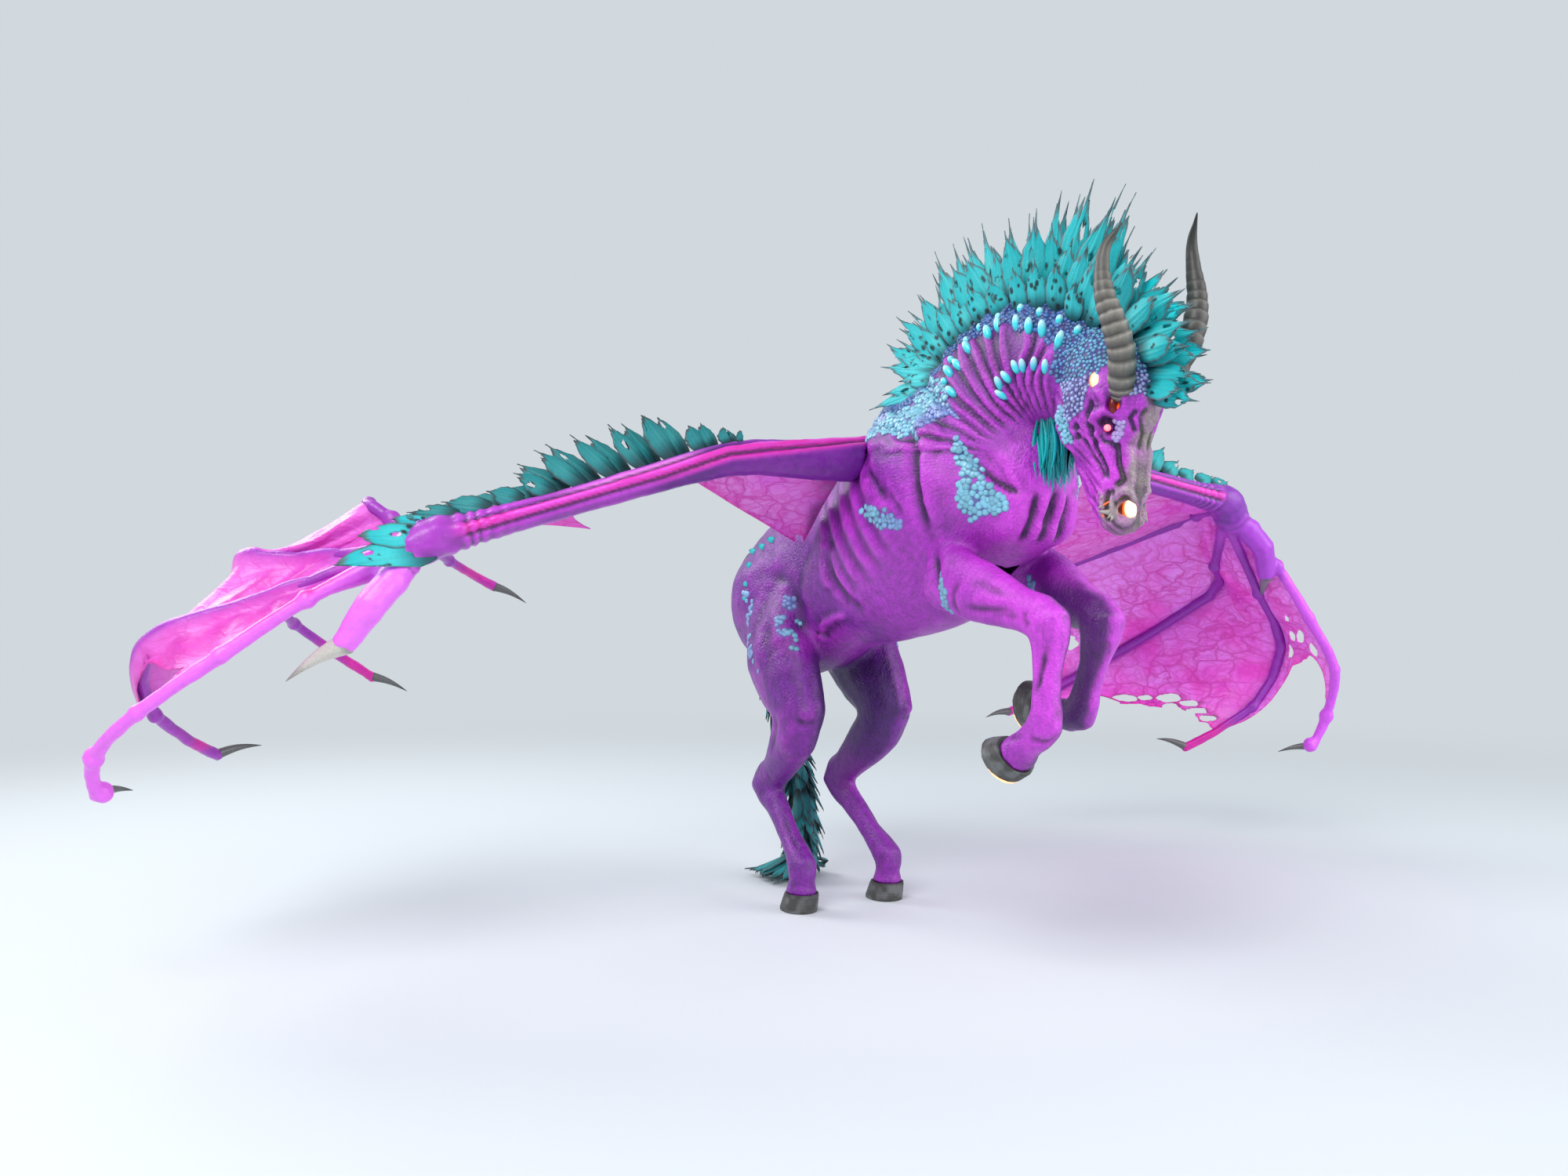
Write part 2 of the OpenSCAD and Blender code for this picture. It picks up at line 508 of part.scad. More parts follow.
// One mane leaf: t along the crest, out to the side by y and leaning out by the angle splay
module mane_leaf(t, y, splay, share) {
    d = [cos(fan(t)) * cos(splay), sin(splay), sin(fan(t)) * cos(splay)];
    leaf(crest(t, y) - 3 * d, d, mane_reach(t) * share + 3, mane_leaf_w, [0, 1, 0],
        1.5 * [sin(fan(t)), 0, -cos(fan(t))]);
}
module middle_leaves() {
    for (i = [0 : mane_count - 1]) mane_leaf(i / (mane_count - 1), 0, i % 2 ? 5 : -5, i % 3 ? 0.94 : 1);
}
module mane_leaves() color(TEAL) carved() difference() { middle_leaves(); neck_form(); head_form(); }
// The side rows stand between the middle ones and stop short of the horns
module side_mane_leaves() color(TEAL) carved() difference() {
    for (i = [0 : mane_count - 7], s = [-1, 1]) mane_leaf((i + 0.5) / (mane_count - 1), s * 5.5, s * 24, 0.66);
    neck_form();
    head_form();
    middle_leaves();
}

// Rows of beads: [t at each end, angle at each end, how many]
bead_rows = [[0.36, 0.92, 16, 35, 10], [0.58, 0.92, -18, 3, 7], [0.32, 0.97, 48, 58, 10]];
module crest_beads() color(BEAD) carved() difference() {
    for (s = [-1, 1], r = bead_rows, i = [0 : r[4] - 1]) {
        k = i / (r[4] - 1);
        f = on_tube(neck_rows, mix(r[0], r[1], k), mix(r[2], r[3], sin(90 * k)), s);
        along(f[0] - 0.8 * f[1], f[1]) cylinder(d1 = bead_d, d2 = 0.5 * bead_d, h = 0.6 * bead_d, $fn = 8);
    }
    neck_form();
    head_form();
    trunk_form();
}

module beard() color(DARK_TEAL) carved() difference() {
    for (i = [0 : 3], s = [-1, 1]) leaf(ahead(50 + 3.2 * i, 22) + [0, s * (2.5 + 2 * (i % 2)), 0],
        [0.05 - 0.03 * i, 0.12 * s, -1], 34 - 2 * i, 5, [1, 0, 0]);
    neck_form();
    trunk_form();
    head_form();
}

// ---- Legs, hooves and tail --------------------------------------------------------------------

module hind_leg(s) color(PURPLE) difference() {
    carved() difference() { hind_leg_form(s); trunk_form(); }
    leg_dowel_rods(s, -leg_dowel_in, leg_dowel_out);
}
module fore_leg(s) color(PURPLE) difference() {
    carved() difference() { fore_leg_form(s); trunk_form(); }
    leg_dowel_rods(s, -leg_dowel_in, leg_dowel_out);
}
module leg_dowels() color(WOOD) for (s = [-1, 1]) leg_dowel_rods(s, -leg_dowel_in, leg_dowel_out);

// A hoof below its coronet, at p, [x, y, z], tipped back by the angle lean
module hoof_form(p, lean) {
    translate(p) rotate([0, lean, 0]) hull() {
        translate([-hoof_back, 0, -hoof_h]) scale([hoof_len, hoof_w, 1]) cylinder(d = 1, h = 1, $fn = 18);
        translate([0, 0, -1]) scale([0.85 * hoof_len, 0.92 * hoof_w, 1]) cylinder(d = 1, h = 1, $fn = 18);
    }
}
module hind_hoof(s) color(HOOF) carved() difference() {
    hoof_form([hind_coronet.x, s * hind_y, hind_coronet.y], 0);
    hind_leg_form(s);
}
module fore_hoof(s) color(HOOF) carved() difference() {
    hoof_form(spot(fore_rows(s)[9]), fore_lean[side_of(s)][2] - 180);
    fore_leg_form(s);
}

tail_rows = let(r = tail_root_d / 2) [
    [-72, 0, 153, r, r], [-86, 1, 151, r, r], [-95, 3, 136, 0.8 * r, 0.8 * r], [-84, 6, 108, 0.7 * r, 0.7 * r],
    [-65, 9, 72, 0.62 * r, 0.62 * r], [3 - tail_stand, 10, 34, 0.6 * r, 0.6 * r], [-tail_stand, 9, -3, r, r]];
module tail_form() { tube(tail_rows, sides = 12, steps = 3); }
module above_floor() { translate([-300, -300, 0]) cube(600); }
module tail_core() color(DARK_TEAL) difference() {
    carved() difference() {
        intersection() { tail_form(); above_floor(); }
        trunk_form();
    }
    tail_dowel_rod();
}
module tail_dowel() color(WOOD) tail_dowel_rod();
// Leaves down the lower tail, turned round it by the golden angle, and a fan of them on the floor
hanging_leaves = 14;
floor_leaves = 7;
module tail_plume() color(DARK_TEAL) carved() difference() {
    intersection() {
        union() {
            for (i = [0 : hanging_leaves - 1]) {
                t = mix(0.42, 0.74, i / (hanging_leaves - 1));
                a = 137.5 * i;
                rows = smooth(tail_rows, 24);
                k = round(t * (len(rows) - 1));
                leaf(spot(rows[k]), heading(rows, k) + 0.28 * [cos(a), sin(a), 0], plume_len, 8, [-sin(a), cos(a), 0]);
            }
            for (i = [0 : floor_leaves - 1]) {
                a = mix(80, 285, i / (floor_leaves - 1));
                leaf([-tail_stand, 9, 11 + 2 * (i % 3)], [cos(a), sin(a), -0.7], 0.9 * plume_len, 8, [0, 0, 1]);
            }
        }
        above_floor();
    }
    tail_form();
}

// ---- Wings ------------------------------------------------------------------------------------

module arm_form(s) { tube(arm_rows(s), side = wing_side(s), sides = 12, steps = 3); }
module thumb_form(s) { tube(thumb_rows(s), side = wing_side(s), sides = 8, steps = 2); }
module finger_form(s, i) { tube(finger_rows(s, i), side = wing_side(s), sides = 8, steps = 2); }
module fingers_before(s, i) { for (k = [0 : 1 : i - 1]) finger_form(s, k); }

tenon_grip = 10;
module wing_arm(s) color(PINK) difference() {
    carved() difference() { arm_form(s); trunk_form(seat_gap); }
    wing_tenon_rod(s, wing_tenon_d, tenon_grip, -10);
}
module wing_tenon(s) color(WOOD) wing_tenon_rod(s, wing_tenon_d, tenon_grip, -wing_tenon_len);
module thumb(s) color(PINK) carved() difference() { thumb_form(s); arm_form(s); fingers_before(s, 4); }
module finger(s, i) color(PINK) carved() difference() {
    finger_form(s, i);
    arm_form(s);
    fingers_before(s, i);
}

claw_steps = [[-12, -12, 0], [-3, -16, 3], [0, -16, -7], [0, -16, -8]];
module claw(from, to, r) {
    tube([[each from, r, r], [each mix(from, to, 0.5) + [0, 0, 0.06 * norm(to - from)], 0.7 * r, 0.7 * r],
        [each to, 0.1, 0.1]], side = [1, 0, 0], sides = 6, steps = 1);
}
module claw_forms(s) {
    for (i = [0 : 3]) let(end = finger_steps[i][len(finger_steps[i]) - 1])
        claw(on_hand(s, end), on_hand(s, end + claw_len * unit(claw_steps[i])), 0.3 * finger_d);
    claw(on_hand(s, thumb_end, 0), on_hand(s, thumb_end + thumb_claw_len * unit([-19, 18, -14]), 0), 4);
}
module claws(s) color(HORN) carved() difference() {
    claw_forms(s);
    for (i = [0 : 3]) finger_form(s, i);
    thumb_form(s);
}

// A point w along finger i, from its knuckle to its end
function finger_at(s, i, w) = let(rows = smooth(finger_rows(s, i), 4), x = w * (len(rows) - 1),
    k = min(floor(x), len(rows) - 2)) spot(mix(rows[k], rows[k + 1], x - k));
// A point on the skin between fingers i and i + 1, bellied down and cut back between them by notch
function web_at(s, i, u, v, notch) = let(w = u * (1 - notch * sin(180 * v)))
    mix(finger_at(s, i, w), finger_at(s, i + 1, w), v) - [0, 0, 5 * sin(180 * v) * sin(180 * u)];
web_reach = [0.8, 0.95, 0.92];
web_notch = [0.3, 0.12, 0.2];
module hand_skin(s) color(PINK) carved() difference() {
    union() for (i = [0 : 2])
        sheet([for (u = [0.11 : 0.178 : 1.01]) [for (v = [0 : 1 / 3 : 1.01]) web_at(s, i, u * web_reach[i], v, web_notch[i])]],
            skin_t);
    arm_form(s);
    thumb_form(s);
    for (i = [0 : 3]) finger_form(s, i);
    claw_forms(s);
}

// A point on the arm: t is -1 at the shoulder, 0 at the elbow and 1 at the wrist
function arm_at(s, t) = on_wing(s, t < 0 ? wing_elbow * (1 + t) : mix(wing_elbow, wing_wrist, t));
// The skin from the arm down to the flank, which ends beside the trunk
function flank_web(s) = let(corner = trunk(31, s * (rump_w / 2 - 1), 11))
    [for (v = [0 : 0.25 : 1]) [for (u = [0 : 0.24 : 0.96])
        mix(arm_at(s, mix(-0.86, 0.17, v)), corner, u * (1 - 0.1 * sin(180 * v)))]];
// The right wing keeps only a torn point of the skin behind its forearm, the left the whole of it
function torn_point(s) = let(tip = arm_at(s, 0.4) + [-24, 0, -14])
    [for (v = [0 : 0.25 : 1]) [for (u = [0 : 0.24 : 0.96]) mix(arm_at(s, mix(0.58, 0.8, v)), tip, u)]];
function rear_web(s) = [for (u = [0.2 : 0.15 : 0.96]) [for (v = [0 : 1 / 3 : 1.01]) let(w = u * (1 - 0.15 * sin(180 * v)))
    mix(finger_at(s, 3, w), arm_at(s, 1 - 0.9 * w), v) - [0, 0, 5 * sin(180 * v) * sin(180 * u)]]];
module arm_skin(s) color(PINK) carved() difference() {
    union() {
        sheet(flank_web(s), skin_t);
        sheet(s < 0 ? torn_point(s) : rear_web(s), skin_t);
    }
    arm_form(s);
    finger_form(s, 3);
    trunk_form(2 * seat_gap);
}

// Leaves along the top of the forearm: the right arm's stand up, the left's lean back
arm_leaf_count = 14;
arm_leaf_way = [[-0.3, 0.75, 0.6], [-0.8, 0.5, 0.35]];
// Leaves on the back of the hand, as [from, to, width]
hand_leaves = [[[0, 0, 7], [-2, 20, 10], 6], [[7, 5, 3], [7, 36, 4], 9], [[8, 5, -3], [9, 48, -5], 11]];
module wing_leaves(s) color(TEAL) carved() difference() {
    way = [arm_leaf_way[side_of(s)].x, s * arm_leaf_way[side_of(s)].y, arm_leaf_way[side_of(s)].z];
    union() {
        for (i = [0 : arm_leaf_count - 1]) let(t = mix(-0.05, 0.97, i / (arm_leaf_count - 1)))
            leaf(arm_at(s, t) + [0, 0, 0.3 * wing_arm_d], way, arm_leaf_len * (i % 2 ? 0.85 : 1), 6.5, [1, 0, 0]);
        for (h = hand_leaves) let(a = on_hand(s, h[0]), b = on_hand(s, h[1]))
            leaf(a, b - a, norm(b - a), h[2], [1, 0, 0]);
    }
    arm_form(s);
    thumb_form(s);
    for (i = [0 : 3]) finger_form(s, i);
}

torso();
ballast();
neck();
neck_dowel();
head();
head_dowel();
lower_jaw();
teeth();
eyes();
brow_orbs();
slit_orbs();
nostril_orbs();
crest_beads();
mane_leaves();
side_mane_leaves();
beard();
hind_leg(-1);  // hind_leg_right
hind_leg(1);  // hind_leg_left
fore_leg(-1);  // fore_leg_right
fore_leg(1);  // fore_leg_left
leg_dowels();
hind_hoof(-1);  // hind_hoof_right
hind_hoof(1);  // hind_hoof_left
fore_hoof(-1);  // fore_hoof_right
fore_hoof(1);  // fore_hoof_left
tail_core();
tail_dowel();
tail_plume();
horn(-1);  // horn_right
horn_tenon(-1);  // horn_tenon_right
horn(1);  // horn_left
horn_tenon(1);  // horn_tenon_left
wing_arm(-1);  // wing_arm_right
wing_tenon(-1);  // wing_tenon_right
thumb(-1);  // thumb_right
finger(-1, 0);  // finger_1_right
finger(-1, 1);  // finger_2_right
finger(-1, 2);  // finger_3_right
finger(-1, 3);  // finger_4_right
claws(-1);  // claws_right
hand_skin(-1);  // hand_skin_right
arm_skin(-1);  // arm_skin_right
wing_leaves(-1);  // wing_leaves_right
wing_arm(1);  // wing_arm_left
wing_tenon(1);  // wing_tenon_left
thumb(1);  // thumb_left
finger(1, 0);  // finger_1_left
finger(1, 1);  // finger_2_left
finger(1, 2);  // finger_3_left
finger(1, 3);  // finger_4_left
claws(1);  // claws_left
hand_skin(1);  // hand_skin_left
arm_skin(1);  // arm_skin_left
wing_leaves(1);  // wing_leaves_left
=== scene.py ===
import math

import bmesh
import bpy
import numpy as np
from mathutils import Matrix, Vector
from mathutils.bvhtree import BVHTree


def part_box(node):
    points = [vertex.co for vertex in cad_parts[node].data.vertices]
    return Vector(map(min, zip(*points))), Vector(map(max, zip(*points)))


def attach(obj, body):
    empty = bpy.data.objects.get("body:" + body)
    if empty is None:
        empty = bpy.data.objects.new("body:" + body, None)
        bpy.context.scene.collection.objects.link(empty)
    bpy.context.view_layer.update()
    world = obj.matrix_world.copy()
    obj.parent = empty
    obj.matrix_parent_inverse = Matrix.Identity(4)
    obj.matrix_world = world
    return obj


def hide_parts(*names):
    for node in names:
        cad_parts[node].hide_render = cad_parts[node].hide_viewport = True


# A rearing winged horse, carved and painted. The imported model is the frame, and the pieces here dress it.
# Lengths are in millimetres until a mesh is made: X forward, Y to the figure's left, Z up.

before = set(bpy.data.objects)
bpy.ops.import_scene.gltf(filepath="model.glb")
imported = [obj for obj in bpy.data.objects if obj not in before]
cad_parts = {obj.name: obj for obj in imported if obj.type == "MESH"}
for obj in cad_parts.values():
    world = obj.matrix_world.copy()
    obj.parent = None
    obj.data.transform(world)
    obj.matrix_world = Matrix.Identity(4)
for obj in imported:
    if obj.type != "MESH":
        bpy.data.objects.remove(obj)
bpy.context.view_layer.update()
MM = 0.001


# ---- Camera, floor and light ------------------------------------------------------------------

def aim(obj, place, target, roll=0.0):
    """Puts obj at place, looking at target, turned about its own view by roll degrees."""
    way = (Vector(target) - Vector(place)).to_track_quat("-Z", "Y").to_matrix().to_4x4()
    obj.matrix_world = Matrix.Translation(place) @ way @ Matrix.Rotation(math.radians(roll), 4, "Z")


camera = bpy.data.objects.new("camera", bpy.data.cameras.new("camera"))
camera.data.lens = 28.5
camera.data.sensor_width = 36
camera.data.clip_start = 0.01
bpy.context.scene.collection.objects.link(camera)
eye_point = Vector((0.503, -0.317, 0.1444))
aim(camera, eye_point, eye_point + Vector((-0.8695, 0.4939, math.tan(math.radians(0.6)))), -0.18)
bpy.context.scene.camera = camera


def area_light(name, place, target, size, watts, colour=(1, 1, 1)):
    lamp = bpy.data.objects.new(name, bpy.data.lights.new(name, "AREA"))
    lamp.data.shape = "DISK"
    lamp.data.size = size
    lamp.data.energy = watts
    lamp.data.color = colour
    bpy.context.scene.collection.objects.link(lamp)
    aim(lamp, place, target)


area_light("key", (0.55, -0.75, 0.95), (0.05, 0, 0.15), 0.7, 9)
area_light("fill", (0.75, 0.55, 0.45), (0.05, 0.05, 0.15), 0.9, 5.5)
area_light("rim", (-0.7, -0.5, 0.7), (0, 0, 0.18), 0.6, 5)

WALL_COLOUR = (0.64, 0.69, 0.73, 1)
world = bpy.data.worlds.new("room")
bpy.context.scene.world = world
world.use_nodes = True
links = world.node_tree.links
sky = world.node_tree.nodes["Background"]
sky.inputs["Color"].default_value = (0.80, 0.86, 0.92, 1)
sky.inputs["Strength"].default_value = 0.66
wall = world.node_tree.nodes.new("ShaderNodeBackground")
wall.inputs["Color"].default_value = WALL_COLOUR
path = world.node_tree.nodes.new("ShaderNodeLightPath")
seen = world.node_tree.nodes.new("ShaderNodeMixShader")
links.new(path.outputs["Is Camera Ray"], seen.inputs[0])
links.new(sky.outputs[0], seen.inputs[1])
links.new(wall.outputs[0], seen.inputs[2])
links.new(seen.outputs[0], world.node_tree.nodes["World Output"].inputs[0])
bpy.context.scene.view_settings.view_transform = "Standard"


# ---- Shader helpers ---------------------------------------------------------------------------

class Shade:
    """A material under construction: short calls that add a node and wire it."""

    def __init__(self, name, roughness=0.5, **sockets):
        self.material = bpy.data.materials.new(name)
        self.material.use_nodes = True
        self.tree = self.material.node_tree
        self.surface = self.tree.nodes["Principled BSDF"]
        self.surface.inputs["Roughness"].default_value = roughness
        for socket, value in sockets.items():
            self.surface.inputs[socket.replace("_", " ")].default_value = value
        self.place = self.add("ShaderNodeTexCoord").outputs["Object"]

    def add(self, kind, settings=None, **inputs):
        node = self.tree.nodes.new(kind)
        for key, value in (settings or {}).items():
            setattr(node, key, value)
        for key, value in inputs.items():
            self.wire(value, node.inputs[key.replace("_", " ")])
        return node

    def wire(self, value, socket):
        if isinstance(value, bpy.types.NodeSocket):
            self.tree.links.new(value, socket)
        else:
            socket.default_value = value

    def stored(self, name="Col", output="Color"):
        """What the mesh keeps for each point under a name."""
        return self.add("ShaderNodeAttribute", {"attribute_name": name}).outputs[output]

    def noise(self, size_mm, detail=3, roughness=0.5, stretch=(1, 1, 1), distortion=0):
        place = self.add("ShaderNodeMapping", Vector=self.place, Scale=stretch).outputs[0]
        return self.add("ShaderNodeTexNoise", Vector=place, Scale=1000 / size_mm, Detail=detail,
                        Roughness=roughness, Distortion=distortion).outputs["Fac"]

    def cells(self, size_mm, feature="F1", randomness=1.0):
        return self.add("ShaderNodeTexVoronoi", {"feature": feature}, Vector=self.place,
                        Scale=1000 / size_mm, Randomness=randomness).outputs["Distance"]

    def ramp(self, value, *stops):
        node = self.add("ShaderNodeValToRGB", Fac=value)
        for _ in stops[2:]:
            node.color_ramp.elements.new(0.5)
        for element, (at, colour) in zip(node.color_ramp.elements, stops):
            element.position = at
            element.color = (*colour, 1) if isinstance(colour, tuple) else (colour, colour, colour, 1)
        return node.outputs["Color"]

    def mix(self, share, a, b, blend="MIX"):
        node = self.add("ShaderNodeMix", {"data_type": "RGBA", "blend_type": blend})
        self.wire(share, node.inputs["Factor"])
        self.wire(a if isinstance(a, bpy.types.NodeSocket) else (*a, 1), node.inputs[6])
        self.wire(b if isinstance(b, bpy.types.NodeSocket) else (*b, 1), node.inputs[7])
        return node.outputs[2]

    def toned(self, share, grain, dark, light):
        """The mesh's own colours, made darker and lighter by a grain."""
        return self.mix(share, self.stored(), self.ramp(grain, (0.3, dark), (0.7, light)), "OVERLAY")

    def maths(self, operation, a, b=0.0):
        node = self.add("ShaderNodeMath", {"operation": operation})
        self.wire(a, node.inputs[0])
        self.wire(b, node.inputs[1])
        return node.outputs[0]

    def bump(self, height, depth_mm, strength=1.0):
        self.tree.links.new(
            self.add("ShaderNodeBump", Height=height, Distance=depth_mm * MM, Strength=strength).outputs[0],
            self.surface.inputs["Normal"])

    def finish(self, colour, **sockets):
        self.wire(colour if isinstance(colour, bpy.types.NodeSocket) else (*colour, 1),
                  self.surface.inputs["Base Color"])
        for socket, value in sockets.items():
            self.wire(value, self.surface.inputs[socket.replace("_", " ")])
        return self.material


def grained(name, roughness, coat_weight, grain, bump, tone):
    """A material in the mesh's own colours, with one grain for its bumps and for its tone.

    grain is what noise takes and bump a depth and strength; tone is a share, then dark and light."""
    shade = Shade(name, roughness, Coat_Weight=coat_weight)
    pattern = shade.noise(*grain)
    shade.bump(pattern, *bump)
    share, dark, light = tone
    return shade.finish(shade.toned(share, pattern, dark, light))


def linear(*srgb):
    """A linear colour from display values."""
    return tuple(v / 12.92 if v <= 0.04045 else ((v + 0.055) / 1.055) ** 2.4 for v in srgb)


# ---- Mesh helpers -----------------------------------------------------------------------------

def dress(name, mesh, body, slot, nodes, *materials):
    """A smooth object that rides on a body in place of CAD nodes; with no body it stands alone, as the floor
    does.
    """
    mesh.materials.clear()
    for material in materials:
        mesh.materials.append(material)
    mesh.polygons.foreach_set("use_smooth", np.ones(len(mesh.polygons), bool))
    obj = bpy.data.objects.new(name, mesh)
    bpy.context.scene.collection.objects.link(obj)
    if body is None:
        return obj
    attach(obj, body)
    if nodes:
        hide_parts(*nodes)
    return obj


def make(name, points, faces, material, body, slot=None, nodes=(), colours=None):
    """An object from points in millimetres."""
    mesh = bpy.data.meshes.new(name)
    mesh.from_pydata((np.asarray(points, float) * MM).tolist(), [], [list(map(int, f)) for f in faces])
    mesh.validate()
    if colours is not None:
        paint(mesh, colours)
    return dress(name, mesh, body, slot, nodes, material)


def paint(mesh, colours):
    """Keeps a colour for each point, in place of any kept before."""
    layer = mesh.color_attributes.get("Col") or mesh.color_attributes.new("Col", "FLOAT_COLOR", "POINT")
    rgba = np.ones((len(mesh.vertices), 4), np.float32)
    rgba[:, :3] = colours
    layer.data.foreach_set("color", rgba.ravel())


def store(mesh, name, values):
    """Keeps a number or a vector for each point under a name."""
    kind, field = ("FLOAT_VECTOR", "vector") if values.ndim == 2 else ("FLOAT", "value")
    mesh.attributes.new(name, kind, "POINT").data.foreach_set(field, values.astype(np.float32).ravel())


def gathered(items, field, width, kind=np.float32):
    """One field of a mesh's items, with a row for each item."""
    values = np.empty(len(items) * width, kind)
    items.foreach_get(field, values)
    return values.reshape(-1, width)


def points_of(mesh):
    return gathered(mesh.vertices, "co", 3).astype(float) / MM


def normals_of(mesh):
    return gathered(mesh.vertex_normals, "vector", 3).astype(float)


def edges_of(mesh):
    return gathered(mesh.edges, "vertices", 2, np.int32)


def box_of(node):
    """The low and high corners of a CAD node."""
    return [np.array(corner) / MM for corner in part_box(node)]


def set_points(mesh, points):
    mesh.vertices.foreach_set("co", (points * MM).astype(np.float32).ravel())
    mesh.update()


def spread(values, edges, count):
    """The mean of each vertex's neighbours."""
    total = np.zeros((count, values.shape[1]))
    a, b = edges[:, 0], edges[:, 1]
    for k in range(values.shape[1]):
        total[:, k] = np.bincount(a, values[b, k], count) + np.bincount(b, values[a, k], count)
    return total / np.maximum(np.bincount(edges.ravel(), minlength=count), 1)[:, None]


def relax(points, edges, times, share=0.5):
    """Smooths points towards their neighbours; share may differ from point to point."""
    share = np.broadcast_to(np.asarray(share, float), len(points))[:, None]
    for _ in range(times):
        points = points + share * (spread(points, edges, len(points)) - points)
    return points


def lattice(cells, seed):
    """Repeatable random numbers for whole-numbered cells."""
    h = cells[..., 0] * 374761393 + cells[..., 1] * 668265263 + cells[..., 2] * 2147483647 + seed * 974711
    h = h & 0x7FFFFFFF
    h = ((h ^ (h >> 13)) * 1274126177) & 0x7FFFFFFF
    return ((h ^ (h >> 16)) & 0xFFFF) / 65535.0


def noise(points, size, seed=0, octaves=1):
    """Smooth noise from -1 to 1 at points, size millimetres from bump to bump."""
    out = np.zeros(len(points))
    weight = 1.0
    for octave in range(octaves):
        p = points / size * 2 ** octave
        cell = np.floor(p).astype(np.int64)
        f = p - cell
        f = f * f * (3 - 2 * f)
        value = np.zeros(len(points))
        for corner in np.ndindex(2, 2, 2):
            w = np.prod(np.where(np.array(corner), f, 1 - f), axis=1)
            value += w * lattice(cell + np.array(corner), seed + octave)
        out += weight * (2 * value - 1)
        weight *= 0.5
    return out


def step(x, low, high):
    """0 below low, 1 above high, smooth between."""
    t = np.clip((x - low) / (high - low), 0, 1)
    return t * t * (3 - 2 * t)


def unit(v):
    v = np.asarray(v, float)
    return v / np.maximum(np.linalg.norm(v, axis=-1, keepdims=True), 1e-9)


def coat(colour, count):
    """One colour for each of count points."""
    return np.tile(colour, (count, 1)).astype(float)


def blended(base, colour, share):
    """Base colours with another laid over them, by a share for each point."""
    share = np.clip(share, 0, 1)[:, None]
    return base * (1 - share) + np.asarray(colour) * share


def along_line(line, share, run=None):
    """Points at shares of the way along a line; run gives its rows' own shares, or they are evenly spread."""
    run = np.linspace(0, 1, len(line)) if run is None else run
    return np.array([np.interp(share, run, c) for c in line.T]).T


def run_of(line):
    """How far along a line each of its rows is, 0 to 1."""
    run = np.concatenate([[0], np.cumsum(np.linalg.norm(np.diff(line, axis=0), axis=1))])
    return run / run[-1]


def curve_points(rows, steps):
    """Points on a smooth curve through rows, with steps between each two."""
    rows = np.asarray(rows, float)
    ends = np.vstack([2 * rows[0] - rows[1], rows, 2 * rows[-1] - rows[-2]])
    out = []
    for k in range(len(rows) - 1):
        a, b, c, d = ends[k:k + 4]
        for t in np.arange(steps) / steps:
            out.append(b + t * (c - a) / 2 + t * t * (a - 2.5 * b + 2 * c - d / 2)
                       + t ** 3 * (1.5 * (b - c) + (d - a) / 2))
    return np.array(out + [rows[-1]])


def band_faces(rings, sides):
    """The squares between rings of points."""
    ring = [(k, (k + 1) % sides, (k + 1) % sides + sides, k + sides) for k in range(sides)]
    return [tuple(i * sides + corner for corner in face) for i in range(rings - 1) for face in ring]


def tube(rows, sides=16, steps=6, side=(0, 1, 0), cap=0.6):
    """A closed tube through rows of [x, y, z, half width, half height]; returns points and faces."""
    rows = curve_points(rows, steps)
    centre, w, h = rows[:, :3], rows[:, 3], rows[:, 4]
    along = unit(np.gradient(centre, axis=0))
    up = unit(np.cross(along, np.broadcast_to(side, along.shape)))
    across = unit(np.cross(up, along))
    turn = np.arange(sides) * 2 * math.pi / sides
    rings = (centre[:, None] + across[:, None] * (w[:, None] * np.cos(turn))[..., None]
             + up[:, None] * (h[:, None] * np.sin(turn))[..., None])
    m = len(rows)
    points = np.vstack([rings.reshape(-1, 3), centre[0] - along[0] * cap * min(w[0], h[0]),
                        centre[-1] + along[-1] * cap * min(w[-1], h[-1])])
    faces = band_faces(m, sides)
    faces += [(m * sides, (k + 1) % sides, k) for k in range(sides)]
    last = (m - 1) * sides
    faces += [(m * sides + 1, last + k, last + (k + 1) % sides) for k in range(sides)]
    return points, faces


def ellipsoid(centre, radii, turn=None, sides=16):
    """Points and faces of a ball stretched to radii and turned by a 3 by 3 matrix."""
    lat = np.linspace(0, math.pi, sides // 2 + 1)[1:-1]
    lon = np.arange(sides) * 2 * math.pi / sides
    ring = np.stack([np.sin(lat)[:, None] * np.cos(lon), np.sin(lat)[:, None] * np.sin(lon),
                     np.cos(lat)[:, None] * np.ones(sides)], axis=-1).reshape(-1, 3)
    points = np.vstack([ring, [0, 0, 1], [0, 0, -1]]) * radii
    if turn is not None:
        points = points @ np.asarray(turn).T
    rings = len(lat)
    faces = [(a, d, c, b) for a, b, c, d in band_faces(rings, sides)]
    faces += [(rings * sides, k, (k + 1) % sides) for k in range(sides)]
    low = (rings - 1) * sides
    faces += [(rings * sides + 1, low + (k + 1) % sides, low + k) for k in range(sides)]
    return points + np.asarray(centre, float), faces


def merge(parts):
    """Points and faces of several (points, faces) pairs together."""
    points, faces, base = [], [], 0
    for p, f in parts:
        points.append(p)
        faces += [tuple(i + base for i in face) for face in f]
        base += len(p)
    return np.vstack(points), faces


def join(name, parts, material, body, slot, nodes=()):
    """One object from (points, faces, colours) parts."""
    points, faces = merge([(p, f) for p, f, _ in parts])
    return make(name, points, faces, material, body, slot, nodes, np.vstack([c for _, _, c in parts]))


